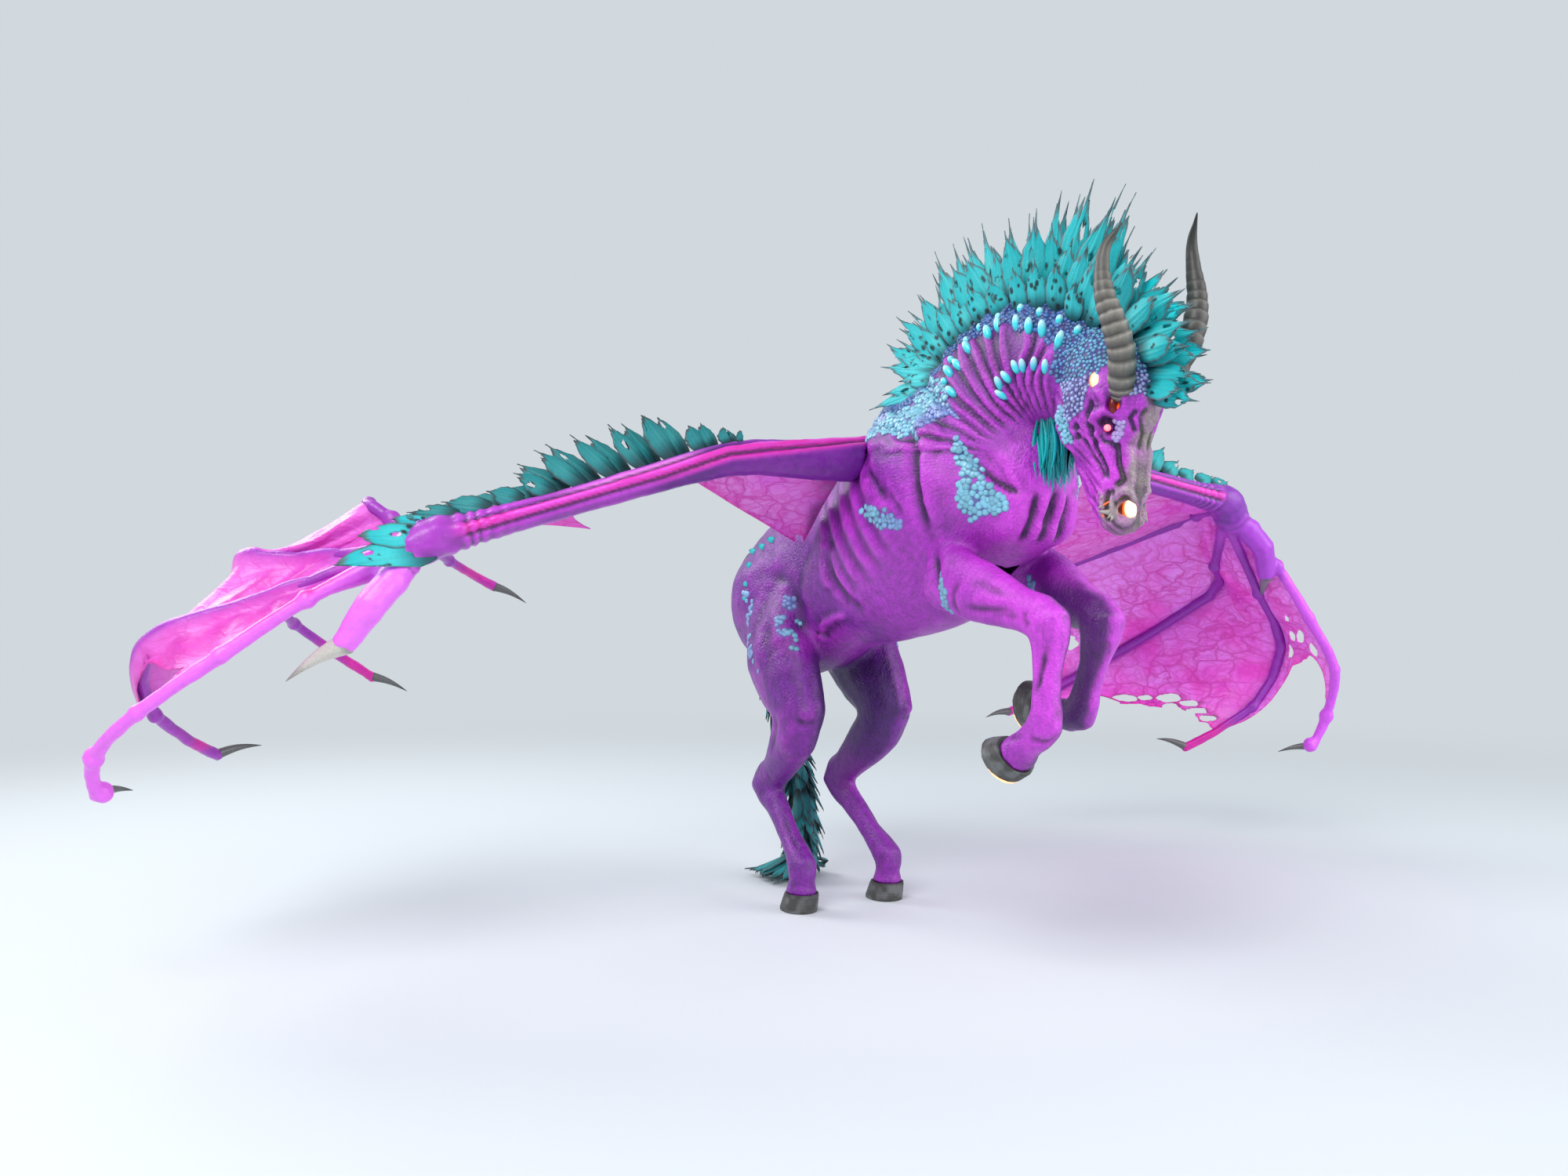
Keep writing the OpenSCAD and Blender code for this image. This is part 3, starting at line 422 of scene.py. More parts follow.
def fused(name, nodes, parts, voxel, fatten):
    """One outer skin round CAD nodes and extra (points, faces) parts, as a mesh of even quads."""
    bm = bmesh.new()
    for n in nodes:
        bm.from_mesh(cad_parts[n].data)
    bmesh.ops.remove_doubles(bm, verts=bm.verts, dist=1e-6)
    bm.normal_update()
    for v in bm.verts:
        v.co += v.normal * fatten * MM
    for points, faces in parts:
        verts = [bm.verts.new(p * MM) for p in points]
        for f in faces:
            bm.faces.new([verts[i] for i in f])
    mesh = bpy.data.meshes.new(name)
    bm.to_mesh(mesh)
    bm.free()
    raw = bpy.data.objects.new(name + "_raw", mesh)
    bpy.context.scene.collection.objects.link(raw)
    change = raw.modifiers.new("remesh", "REMESH")
    change.mode = "VOXEL"
    change.voxel_size = voxel * MM
    bpy.context.view_layer.update()
    skin = bpy.data.meshes.new_from_object(raw.evaluated_get(bpy.context.evaluated_depsgraph_get()))
    bpy.data.objects.remove(raw)
    return outer_shell(skin)


def outer_shell(mesh):
    """Keeps only the largest connected shell of a mesh."""
    count = len(mesh.vertices)
    edges = edges_of(mesh)
    label = np.arange(count)
    while True:
        low = np.minimum(label[edges[:, 0]], label[edges[:, 1]])
        new = label.copy()
        np.minimum.at(new, edges[:, 0], low)
        np.minimum.at(new, edges[:, 1], low)
        new = new[new]
        if np.array_equal(new, label):
            break
        label = new
    main = np.bincount(label).argmax()
    bm = bmesh.new()
    bm.from_mesh(mesh)
    bm.verts.ensure_lookup_table()
    bmesh.ops.delete(bm, geom=[bm.verts[int(i)] for i in np.flatnonzero(label != main)], context="VERTS")
    bm.to_mesh(mesh)
    bm.free()
    return mesh


# ---- Body skin --------------------------------------------------------------------------------

def mirrored(points):
    return [(x, -y, z) for x, y, z in points]


def distance_to(points, path):
    """Distance from each point to a polyline, and how far along it the nearest place is, 0 to 1."""
    path = np.asarray(path, float)
    best = np.full(len(points), 1e9)
    place = np.zeros(len(points))
    lengths = np.linalg.norm(np.diff(path, axis=0), axis=1)
    start = np.concatenate([[0], np.cumsum(lengths)]) / lengths.sum()
    for k in range(len(path) - 1):
        a, d = path[k], path[k + 1] - path[k]
        t = np.clip(((points - a) @ d) / max(d @ d, 1e-9), 0, 1)
        dist = np.linalg.norm(points - a - t[:, None] * d, axis=1)
        near = dist < best
        best[near] = dist[near]
        place[near] = (start[k] + t * (start[k + 1] - start[k]))[near]
    return best, place


class Sculpture:
    """Moves the points of a skin along their normals and remembers how far, for the paint."""

    def __init__(self, mesh):
        self.mesh = mesh
        self.points = points_of(mesh)
        self.edges = edges_of(mesh)
        self.relief = np.zeros(len(self.points))

    def smooth(self, times, share):
        self.points = relax(self.points, self.edges, times, share)
        self.settle()

    def settle(self):
        set_points(self.mesh, self.points)
        self.normals = normals_of(self.mesh)

    def raise_by(self, height):
        self.relief += height
        self.points = self.points + self.normals * height[:, None]

    def stroke(self, path, width, height, taper=0.15, both=True):
        """A ridge, or with a height below zero a groove, along a path and its mirror image."""
        for side in ([path, mirrored(path)] if both else [path]):
            d, t = distance_to(self.points, side)
            ends = step(t, -0.001, taper) * step(1 - t, -0.001, taper) if taper else 1.0
            self.raise_by(height * np.exp(-(d / width) ** 2) * ends)

    def strokes(self, *rows):
        """Strokes on both sides, from rows of path, width and height."""
        for path, width, height in rows:
            self.stroke(path, width, height)

    def lump(self, centre, radius, height):
        """A rounded swelling, or with a height below zero a pit, on both sides."""
        for c in (centre, *mirrored([centre])):
            self.raise_by(height * np.exp(-(np.linalg.norm(self.points - c, axis=1) / radius) ** 2))


def subdivide(mesh, chosen):
    """Halves the edges of a mesh where both ends are chosen."""
    where = chosen(points_of(mesh))
    bm = bmesh.new()
    bm.from_mesh(mesh)
    edges = [e for e in bm.edges if where[e.verts[0].index] and where[e.verts[1].index]]
    bmesh.ops.subdivide_edges(bm, edges=edges, cuts=1, use_grid_fill=True)
    bm.to_mesh(mesh)
    bm.free()


BODY_NODES = ["torso", "neck", "head", "lower_jaw", "hind_leg_right", "hind_leg_left", "fore_leg_right",
              "fore_leg_left"]
shoulder_hump = [ellipsoid((80, s * 21, 208), (24, 11, 13.5)) for s in (-1, 1)]
body_mesh = fused("body_skin", BODY_NODES, shoulder_hump, 1.15, 0.5)
skin = Sculpture(body_mesh)
X, Y, Z = skin.points.T
slim = np.maximum(step(X, 152, 164), step(-Z, -128, -112))
skin.smooth(24, 0.5 - 0.38 * slim)
skin.raise_by(np.full(len(skin.points), -0.35))
skin.relief[:] = 0
skin.smooth(4, 0.3)
subdivide(body_mesh, lambda p: (p[:, 0] > 164) & (p[:, 2] > 164))
skin = Sculpture(body_mesh)
skin.smooth(3, 0.4 * step(skin.points[:, 0], 162, 166))
skin.relief[:] = 0
bare = skin.points.copy()
X, Y, Z = bare.T
side_on = np.abs(skin.normals[:, 1])

# Trunk: ribs, shoulder blade, loin and flank hollows, and the folds between the forelegs.
# u runs forward along the trunk and v across it, from a point at the croup.
TRUNK_RISE, RIB_GAP = math.radians(24), 11.5
CROUP_X, CROUP_Z = -38.5, 147.2
u = (X - CROUP_X) * math.cos(TRUNK_RISE) + (Z - CROUP_Z) * math.sin(TRUNK_RISE)
v = (Z - CROUP_Z) * math.cos(TRUNK_RISE) - (X - CROUP_X) * math.sin(TRUNK_RISE)
on_ribs = step(u, 62, 78) * step(-u, -132, -112) * step(side_on, 0.35, 0.75)
on_ribs *= step(v, -42, -28) * step(-v, -24, -10)
skin.raise_by(on_ribs * 0.7 * np.sin(2 * math.pi * (u + 0.22 * v) / RIB_GAP))
skin.strokes(
    # edge of the shoulder blade and the muscle before it
    ([(94, -24, 221), (105, -32, 204), (107, -32, 183), (109, -30, 168), (117, -31, 155), (123, -28, 141)],
     3.2, -2.6),
    ([(100, -25, 220), (111, -31, 203), (113, -31, 184), (116, -30, 168)], 5, 1.4),
    # behind the elbow, flank and stifle
    ([(36, -30, 176), (35, -29, 165), (37, -28, 154), (44, -25, 144), (54, -21, 138)], 4, -1.6),
    ([(30, -30, 172), (28, -29, 160), (31, -27, 148)], 4.5, 1.3),
    ([(6, -17, 124), (15, -19, 134), (27, -20, 137), (39, -21, 139)], 2.2, 1.9),
    ([(9, -17, 128), (16, -18, 129), (28, -20, 132)], 3, -1.6),
    ([(4, -24, 128), (0, -27, 145), (4, -27, 160), (14, -26, 172)], 3.5, -1.8),
    ([(-2, -29, 122), (-8, -31, 140), (-6, -29, 156)], 5, 1.2),
    ([(-20, -30, 110), (-24, -32, 128), (-20, -31, 148), (-8, -27, 162)], 4, -1.1),
    ([(96, -33, 180), (82, -34, 185), (70, -34, 196)], 3.5, 1.2))
for k in range(5):
    line = [(72 + 3 * k, -33, 201 - k), (86 + 4 * k, -34, 186 - 3 * k), (99 + 3 * k, -33, 168 - 5 * k)]
    skin.stroke(line, 1.2, -0.8)
BREAST = [(147, -1, 196), (149, 0, 183), (147, 0, 170), (140, 0, 160), (128, 0, 150)]
skin.stroke(BREAST, 2.4, -3.2, both=False)
skin.strokes(
    ([(148, -7, 186), (147, -8, 175), (141, -9, 164), (132, -10, 156)], 2.2, -2.2),
    ([(149, -4, 186), (148, -4, 174), (142, -4.5, 163)], 2.2, 1.4),
    ([(146, -12, 186), (144, -14, 174), (138, -16, 162)], 4.5, 1.7))
skin.lump((139, -20, 168), 11, 1.2)
skin.lump((126, -27, 176), 12, 0.9)

# Neck: folds that fan out from the throat to the crest, and long furrows down to the chest
# They are measured round a point in the throat.
FAN_X, FAN_Z = 151, 196
dx, dz = X - FAN_X, Z - FAN_Z
far = np.hypot(dx, dz)
bearing = np.degrees(np.arctan2(dz, -dx))
on_neck = step(far, 14, 24) * step(bearing, 2, 16) * step(-bearing, -152, -128) * step(side_on, 0.15, 0.5)
on_neck *= step(u, 112, 124) * step(-X, -164, -157)
wander = noise(bare, 14, 3) * 5
skin.raise_by(on_neck * (0.75 * np.sin(2 * math.pi * (bearing + wander) / 8.5)
                         + 0.35 * np.sin(2 * math.pi * (bearing + 1.4 * wander) / 3.9)))
for k in range(7):
    line = [(110 + 3.0 * k, -27 + 0.5 * k, 217 + 1.5 * k), (123 + 2.4 * k, -28 + 0.9 * k, 206 - 0.5 * k),
            (134 + 1.7 * k, -25 + 1.3 * k, 195 - 1.2 * k), (143 + 0.8 * k, -17 + k, 185 - k)]
    skin.stroke(line, 1.1, -0.95)

# Legs: tendons, the flat of the forearm, and creases over the joints. Those of the forelegs aren't mirrored.
FORELEGS_FROM_X = 120
for path, width, height in (
        # near forearm and elbow
        ([(134, -29, 151), (141, -28, 151), (149, -26, 147), (157, -24, 145)], 1.5, -0.8),
        ([(128, -30, 143), (140, -28, 141), (150, -26, 141), (159, -25, 141)], 1.4, -1.5),
        ([(141, -26, 138), (150, -26, 138.6), (161, -25, 138)], 1.1, -0.9),
        ([(134, -29, 146), (146, -27, 144.5), (158, -25, 143)], 1.8, 0.8),
        ([(133, -30, 152), (128, -31, 147), (127, -30, 142), (127, -25, 137)], 1.4, -1.3),
        # knee, tendon, fetlock
        ([(162, -24, 142), (161, -25, 138), (164, -24, 134)], 1.3, -1.0),
        ([(170, -22, 130), (168, -22, 123), (166, -22, 116), (163, -22, 109)], 1.3, -1.6),
        ([(169.5, -21, 123), (169, -20, 113), (168, -21, 104)], 2.0, 0.8),
        ([(162, -23, 98), (163, -22, 95), (167, -18, 94), (170, -16, 97)], 1.2, -1.3),
        ([(148, -20, 95), (154, -22, 94.6), (160, -22, 97)], 1.3, -0.9),
        # haunch, stifle, gaskin and hock
        ([(-32, -29, 155), (-21, -28, 158), (-6, -27, 153), (3, -24, 140), (3, -22, 128), (6, -20, 118)],
         2.4, -1.5),
        ([(-13, -33, 138), (-9, -36, 125), (-2, -36, 110)], 3.2, -1.2),
        ([(-22, -31, 138), (-18, -34, 124), (-12, -35, 110)], 3.5, 0.9),
        ([(14, -32, 95), (17, -28, 91), (18, -22, 95)], 2.4, 0.7),
        ([(10, -33, 92), (15, -29, 87), (17, -22, 89)], 1.4, -1.1),
        ([(0, -35, 95), (-5, -34, 83), (-16, -31, 71)], 2.0, -1.3),
        ([(13, -32, 92), (6, -33, 82), (-5, -31, 70)], 2.4, 0.9),
        ([(-38, -26, 70), (-36, -26, 62), (-34, -25, 56)], 1.5, -1.8),
        ([(-34, -26, 50), (-28, -28, 52), (-23, -28, 58), (-25, -28, 64)], 1.3, -1.2),
        ([(-20, -23, 49), (-9, -25, 38), (3, -26, 30), (10, -26, 23)], 1.3, -0.9),
        ([(-30, -27, 44), (-20, -28, 34), (-10, -28, 24)], 1.3, -1.3),
        ([(0, -27, 16), (4, -28, 13), (9, -27, 15)], 1.2, -0.9)):
    on_fore = path[0][0] > FORELEGS_FROM_X
    skin.stroke(path, width * 1.35, height * (0.72 if on_fore else 0.85), taper=0.35, both=not on_fore)

# Face: sockets, bone ridges, cheek, nostril rim and mouth
EYE, NOSTRIL = (188.5, -11.5, 203.6), (191.6, -6, 175.6)
SLIT, BROW = (192.4, -12, 211.5), (184.8, -13.4, 219.8)
skin.lump(EYE, 3.6, -2.4)
skin.strokes(
    # lids
    ([(182, -13, 205), (184.5, -13.8, 207.6), (188, -13.2, 208.4), (192, -11.8, 206.4)], 1.5, 2.1),
    ([(182.5, -12.8, 202.2), (185, -12.6, 199.8), (188.5, -12, 199.2), (191.8, -11, 200.8)], 1.2, 1.5),
    ([(182, -12.8, 199.6), (185.5, -12.4, 197), (189.5, -11.2, 196.8)], 1.1, -0.9))
skin.lump(SLIT, 2.6, -1.3)
skin.strokes(
    ([(187.4, -13.8, 217), (188.8, -13.6, 212), (190.6, -12.8, 207.8)], 1.2, 2.0),
    ([(194.6, -10.6, 216), (195.2, -10.6, 211.4), (194, -11.2, 207.4)], 1.3, 1.7))
skin.lump(BROW, 4.6, 1.2)
skin.strokes(
    ([(180, -14, 221), (183, -14.5, 224), (187.5, -13.5, 223.5)], 1.2, 1.2),
    # from the eye to the nostril, then down the cheek and inside the jaw
    ([(188, -9, 199), (190, -7.5, 196), (190, -7, 191), (191, -6, 186), (188, -8, 183)], 1.1, -1.5),
    ([(185, -13, 215), (182, -14, 209), (182, -12, 202), (183, -10, 196), (186, -9, 189), (186, -8, 185)],
     1.1, -1.6),
    ([(178, -13, 202), (180, -11, 197), (183, -9, 191), (185, -9, 185)], 1.1, -1.0),
    ([(184.5, -10.6, 199), (186.5, -9, 193), (188, -8.4, 187)], 1.3, 0.9),
    ([(181, -12, 200), (183, -10, 194), (184.6, -9, 189)], 1.2, 0.6),
    # bone of the nose
    ([(193, -5, 198), (193, -4, 192), (193, -4, 185), (191, -5, 180)], 1.5, 1.0),
    ([(198, -6, 209), (195.5, -7, 206), (195, -4, 201)], 1.0, -1.2),
    ([(200, -3, 210), (198, -5, 206), (196, -2, 201), (194, -2, 195)], 1.0, -0.9),
    ([(184, -11, 202), (186, -10, 199), (189, -8, 198), (191, -6, 197)], 0.9, -0.9),
    ([(187, -8, 183), (188, -7, 180), (188, -7, 175)], 0.8, -0.9),
    # cheek and corner of the mouth
    ([(168, -13, 214), (166, -12, 205), (170, -11, 196), (175, -9.5, 187)], 2.6, 1.4),
    ([(171, -13.5, 213), (170, -13, 207), (173, -12.4, 199)], 1.3, -1.0),
    ([(186.5, -8.6, 183), (184.6, -8.4, 179.5), (184, -8.2, 175.6), (185, -6, 171)], 1.1, -1.9),
    ([(188, -8.4, 181), (188, -8, 178), (187.3, -7.4, 172)], 1.2, 1.1))
folded = np.stack([X, -np.abs(Y), Z], axis=1)
from_nostril = np.linalg.norm((folded - NOSTRIL) * (1, 1, 0.68), axis=1)
skin.raise_by(1.1 * np.exp(-((from_nostril - 4.2) / 1.0) ** 2) - 1.6 * np.exp(-(from_nostril / 2.9) ** 2))
# Small holes beside the eye and in the groin
PITS = [(175.9, -14, 204.8), (175.9, -13.4, 201.4), (14, -19, 135), (8.5, -17, 129.5)]
for pit in PITS:
    skin.lump(pit, 1.3, -1.9)
wrinkled = step(X, 158, 168) * step(-X, -190, -184) * step(Z, 150, 175)
skin.raise_by(wrinkled * 0.16 * np.sin(2 * math.pi * (0.72 * Z + 0.7 * X + 2.2 * noise(bare, 9, 5)) / 3.1))

# Skin all over: slack and small bumps, rougher on the shoulder
skin.raise_by(0.45 * noise(bare, 13, 8) + 0.16 * noise(bare, 4.2, 9))
pebble = step(u, 112, 122) * step(-u, -160, -148) * step(-v, -8, 6) * step(side_on, 0.3, 0.6)
skin.raise_by(pebble * 0.35 * np.maximum(noise(bare, 2.9, 10), 0))
skin.settle()

# How far each point stands above or below the skin round it; on the face that is taken over a longer
# distance. Sunk places get painted shade and raised ones a painted highlight.
on_face = step(X, 166, 176)
level = relax(skin.relief[:, None], skin.edges, 14, 0.5)
level += (relax(level, skin.edges, 34, 0.5) - level) * on_face[:, None]
cavity = skin.relief - level[:, 0]
crease_shade = np.clip(np.clip(-cavity / 0.55, 0, 1) * (1 + 0.9 * on_face), 0, 1)
ridge_highlight = np.clip(cavity / 0.5, 0, 1)
X, Y, Z = skin.points.T


PURPLE = linear(0.55, 0.08, 0.66)
PLUM = linear(0.17, 0.01, 0.27)
VIOLET = linear(0.38, 0.05, 0.52)
ORCHID = linear(0.86, 0.26, 0.88)
BONE = linear(0.52, 0.48, 0.46)
hindquarters = step(-X, -62, 0)
hide = coat(PURPLE, len(X))
hide = blended(hide, VIOLET, 0.55 * step(noise(bare, 26, 20), -0.3, 0.6))
hide = blended(hide, ORCHID, 0.4 * step(noise(bare, 18, 21, 2), 0.0, 0.9))
lit_chest = 0.55 * step(u, 150, 180) * step(-Z, -205, -185)
hide = blended(hide, ORCHID, lit_chest + 0.25 * step(-v, -10, 30) * step(u, 60, 90))
hide = blended(hide, VIOLET, 0.5 * step(v, 4, 26) * step(-u, -130, -100))
hide = blended(hide, linear(0.34, 0.04, 0.47), 0.62 * hindquarters * (0.75 + 0.25 * noise(bare, 20, 22)))
# Painted highlight on raised skin, less on the hindquarters, and painted shade in the hollows and creases
hide = blended(hide, ORCHID, 0.62 * ridge_highlight * (1 - 0.35 * hindquarters))
hide = blended(hide, PLUM, 0.95 * crease_shade)

# Painted shade: the insides of the legs, where little light reaches, are darker, and so are the folds under
# the crest
shaded_leg_inside = step(-np.sign(Y) * skin.normals[:, 1], -0.25, 0.55)
on_foreleg = step(X, 118, 132) * step(-Z, -160, -146) * step(-skin.normals[:, 0], -1.02, -0.72)
on_hindleg = step(-X, -45, -25) * step(-Z, -126, -112) * step(Z, 30, 90)
hide = blended(hide, linear(0.22, 0.02, 0.36), 0.9 * shaded_leg_inside * np.maximum(on_foreleg, on_hindleg))
hide = blended(hide, PLUM, on_neck * step(far, 30, 46) * (0.25 + 0.6 * crease_shade))

# The bone-grey front of the face and the muzzle
nose_half = 5.4 + 0.08 * (205 - Z) + 1.4 * noise(bare, 7, 30, 2)
nose_front = step(nose_half - np.abs(Y), 0, 2.2) * step(X, 183, 190)
muzzle = step(-Z, -184, -178) * step(X, 178, 184)
grey = step(X, 150, 152) * np.maximum(nose_front, muzzle) * step(-Z, -224, -214)
hide = blended(hide, BONE, 0.95 * grey * (0.8 + 0.3 * noise(bare, 5, 31, 2)))
# Painted shade in the hollows of the grey face and a painted highlight on its ridges
hide = blended(hide, linear(0.16, 0.12, 0.14), grey * crease_shade * 0.8)
hide = blended(hide, linear(0.66, 0.62, 0.60), grey * ridge_highlight * 0.7)
# Painted shade: the eye and slit sockets and the small pits are dark inside
SOCKETS = [(EYE, 2.9, (0.10, 0.02, 0.08)), (SLIT, 2.6, (0.22, 0.05, 0.06))]
for centre, radius, colour in SOCKETS + [(pit, 1.2, (0.12, 0.02, 0.08)) for pit in PITS]:
    for place in (centre, *mirrored([centre])):
        d = np.linalg.norm(skin.points - place, axis=1)
        hide = blended(hide, linear(*colour), 0.95 * step(-d, -radius - 0.8, -radius + 0.5))
paint(body_mesh, hide)

# Fibres run round the throat: the grain of the paint follows this place instead of the plain one
store(body_mesh, "fibre", np.stack([bearing * 0.55, far * 0.09, bare[:, 1] * 0.05], axis=1))
store(body_mesh, "fibrous", step(far, 6, 16) * step(-X, -166, -156) * step(u, 96, 116))

hide_paint = Shade("hide", 0.42, Coat_Weight=0.18, Coat_Roughness=0.35)
along_fibre = hide_paint.stored("fibre", "Vector")
fibres = hide_paint.add("ShaderNodeTexNoise", Vector=along_fibre, Scale=1.6, Detail=5,
                        Roughness=0.65).outputs["Fac"]
fibre_share = hide_paint.stored("fibrous", "Fac")
plain_tone = hide_paint.noise(2.2, 4, 0.6, (1, 1, 0.45))
tone = hide_paint.mix(hide_paint.maths("MULTIPLY", fibre_share, 0.75), plain_tone, fibres)
wrinkles = hide_paint.cells(1000 / 480, "DISTANCE_TO_EDGE")
base = hide_paint.mix(0.85, hide_paint.stored(), hide_paint.ramp(tone, (0.32, 0.34), (0.68, 0.64)), "OVERLAY")
base = hide_paint.mix(0.5, base, hide_paint.ramp(wrinkles, (0.0, 0.35), (0.16, 0.52)), "OVERLAY")
pores = hide_paint.maths("ADD", hide_paint.noise(1.4, 4, 0.6, (1, 1, 0.5)),
                         hide_paint.cells(1.6, "DISTANCE_TO_EDGE"))
hide_paint.bump(hide_paint.maths("ADD", pores, hide_paint.maths("MULTIPLY", tone, 1.4)), 0.5, 0.85)
hide_paint.finish(base)
dress("body_skin", body_mesh, "root", "purple", BODY_NODES + ["leg_dowels"], hide_paint.material)


# ---- Wing bones -------------------------------------------------------------------------------

WING_ROOT = np.array([58.6, 26.0, 204.7])
ELBOW = 62 * unit([2, 60, 10])
WRIST = ELBOW + 122 * unit([-2, 118, -9])
ARM_RISE = {-1: -12, 1: -3}
ARM_SWEEP = {-1: 8, 1: 3}
HAND_DROOP = {-1: 0, 1: 30}
THUMB = [(1, 3, -3), (4, 14, -15), (6, 22, -24), (3, 28, -33), (1, 31, -39)]
FINGERS = [
    [(-5, 20, -11), (-7, 42, -22), (-14, 70, -42), (-23, 96, -62), (-43, 109, -79), (-56, 108, -95)],
    [(-12, 17, -6), (-31, 55, -23), (-50, 91, -38), (-74, 88, -67), (-106, 62, -88)],
    [(-10, 10, -3), (-42, 36, -6), (-66, 57, -7), (-144, 27, -33), (-169, -14, -61)],
    [(-8, 3, 1), (-26, 8, 9), (-44, 13, 16), (-137, -43, -3), (-156, -72, -16)]]
SIDE_NAME = {-1: "right", 1: "left"}


def turned(p, axis, degrees):
    """p turned about an axis through the origin."""
    n, a = unit(axis), math.radians(degrees)
    p = np.asarray(p, float)
    return p * math.cos(a) + np.cross(n, p) * math.sin(a) + n * (p @ n)[..., None] * (1 - math.cos(a))


def reach(s, p):
    p = turned(np.atleast_2d(p).astype(float), (1, 0, 0), ARM_RISE[s])
    return WING_ROOT + turned(p, (0, 0, 1), ARM_SWEEP[s])


def on_wing(s, p):
    return np.squeeze(reach(s, p) * [1, s, 1])


def on_hand(s, p, droops=True):
    p = np.atleast_2d(p).astype(float)
    drop = turned(p, (2, 3, 0), -HAND_DROOP[s] if droops else 0)
    return np.squeeze((reach(s, WRIST) + drop) * [1, s, 1])


def on_arm(s, t):
    """A point inside the arm: t is -1 at the shoulder, 0 at the elbow and 1 at the wrist."""
    return on_wing(s, ELBOW * (1 + t) if t < 0 else ELBOW + (WRIST - ELBOW) * t)


def finger_line(s, i, count=60):
    return along_line(curve_points(on_hand(s, FINGERS[i]), 12), np.linspace(0, 1, count))


HOT_PINK = linear(0.90, 0.05, 0.62)
PALE_PINK = linear(0.95, 0.54, 0.90)
MAGENTA = linear(0.93, 0.36, 0.90)
BRIGHT = linear(0.93, 0.42, 0.94)

limb_paint = Shade("wing_limb", 0.38, Coat_Weight=0.25, Coat_Roughness=0.3)
limb_pores = limb_paint.maths("ADD", limb_paint.noise(1.3, 4, 0.6), limb_paint.cells(1.5, "DISTANCE_TO_EDGE"))
limb_paint.bump(limb_pores, 0.22, 0.5)
limb_paint.finish(limb_paint.toned(0.5, limb_paint.noise(2.0, 4, 0.6), 0.43, 0.6))


def limb_knuckles(s):
    """Joints, bones and palm of one wing's hand, to be fused with its CAD nodes."""
    parts = []
    for i, steps in enumerate(FINGERS):
        for k, step_out in enumerate(steps[1:-1]):
            r = (4.0, 3.6, 3.4, 3.1)[k] - (1.0 if s < 0 and i in (1, 2) and k == 0 else 0)
            parts.append(ellipsoid(on_hand(s, step_out), (r, r, r), sides=12))
    for i in range(4):
        line = finger_line(s, i, 40)
        r = np.full((40, 1), 2.7 if i == 0 else 1.9)
        parts.append(tube(np.hstack([line, r, r]), sides=12, steps=1, side=(1, 0, 0.3)))
        palm = np.array([on_hand(s, (0, 0, 0), False), line[0], line[5]])
        r = np.array([[6.0], [4.6 if i == 0 else 3.4], [3.0 if i == 0 else 2.2]])
        parts.append(tube(np.hstack([palm, r, r]), sides=12, steps=4, side=(1, 0, 0.3)))
    parts.append(ellipsoid(on_hand(s, THUMB[1], False), (6.4, 6.4, 6.4), sides=14))
    parts.append(ellipsoid(on_hand(s, FINGERS[0][4]), (4.2, 4.0, 4.6), sides=14))
    tip = np.array(FINGERS[0][5])
    parts.append(ellipsoid(on_hand(s, tip * 0.98), (4.0, 4.0, 4.4), sides=14))
    parts.append(ellipsoid(on_hand(s, tip * 0.93 + (6, 0, 3)), (2.6, 2.4, 5.2), sides=14))
    return parts


class ArmPlace:
    """Where each point lies on the arm: t along it, and turn round it from the middle of its pink band."""

    def __init__(self, s, p):
        arm = np.array([on_arm(s, t) for t in np.linspace(-1, 1, 41)])
        self.away, self.t = distance_to(p, arm)
        out = unit(p - along_line(arm, self.t, run_of(arm)))
        self.lift = np.degrees(np.arctan2(out[:, 2], out[:, 0]))
        self.turn = self.lift - np.interp(self.t, [0, 0.12, 0.34, 0.5, 0.9, 1], [72, 60, 34, 18, 6, 0])
        self.within = step(-self.away, -15, -11) * step(-self.t, -0.97, -0.9)
        self.from_wrist = np.linalg.norm(p - on_arm(s, 1), axis=1)

    def stripe(self, turn, width, power=2):
        """1 along a line round the arm at turn degrees, fading over width degrees; 0 off the arm."""
        return self.within * np.exp(-((self.turn - turn) / width) ** power)


def shape_limb(form, place, p):
    """Muscles, fibres and the folds of the wrist, over points p as they were before any of them."""
    for offset, width, height in ((0, 16, 1.1), (21, 7, -0.9), (-20, 7, -0.9), (-36, 13, 0.6), (44, 14, 0.5)):
        form.raise_by(height * place.stripe(offset, width))
    fibres = place.within * (np.abs(place.turn) < 24) * 0.16
    form.raise_by(fibres * np.sin(np.radians(place.turn * 26 + 40 * noise(p, 20, 40))))
    near_wrist = np.exp(-((place.t - 0.93) / 0.08) ** 2) * (place.away < 16)
    form.raise_by(near_wrist * 0.4 * np.sin(2 * math.pi * (place.from_wrist + 2 * noise(p, 8, 41)) / 4.2))
    form.raise_by(0.22 * noise(p, 6, 42) + 0.1 * noise(p, 2.5, 43))
    form.settle()


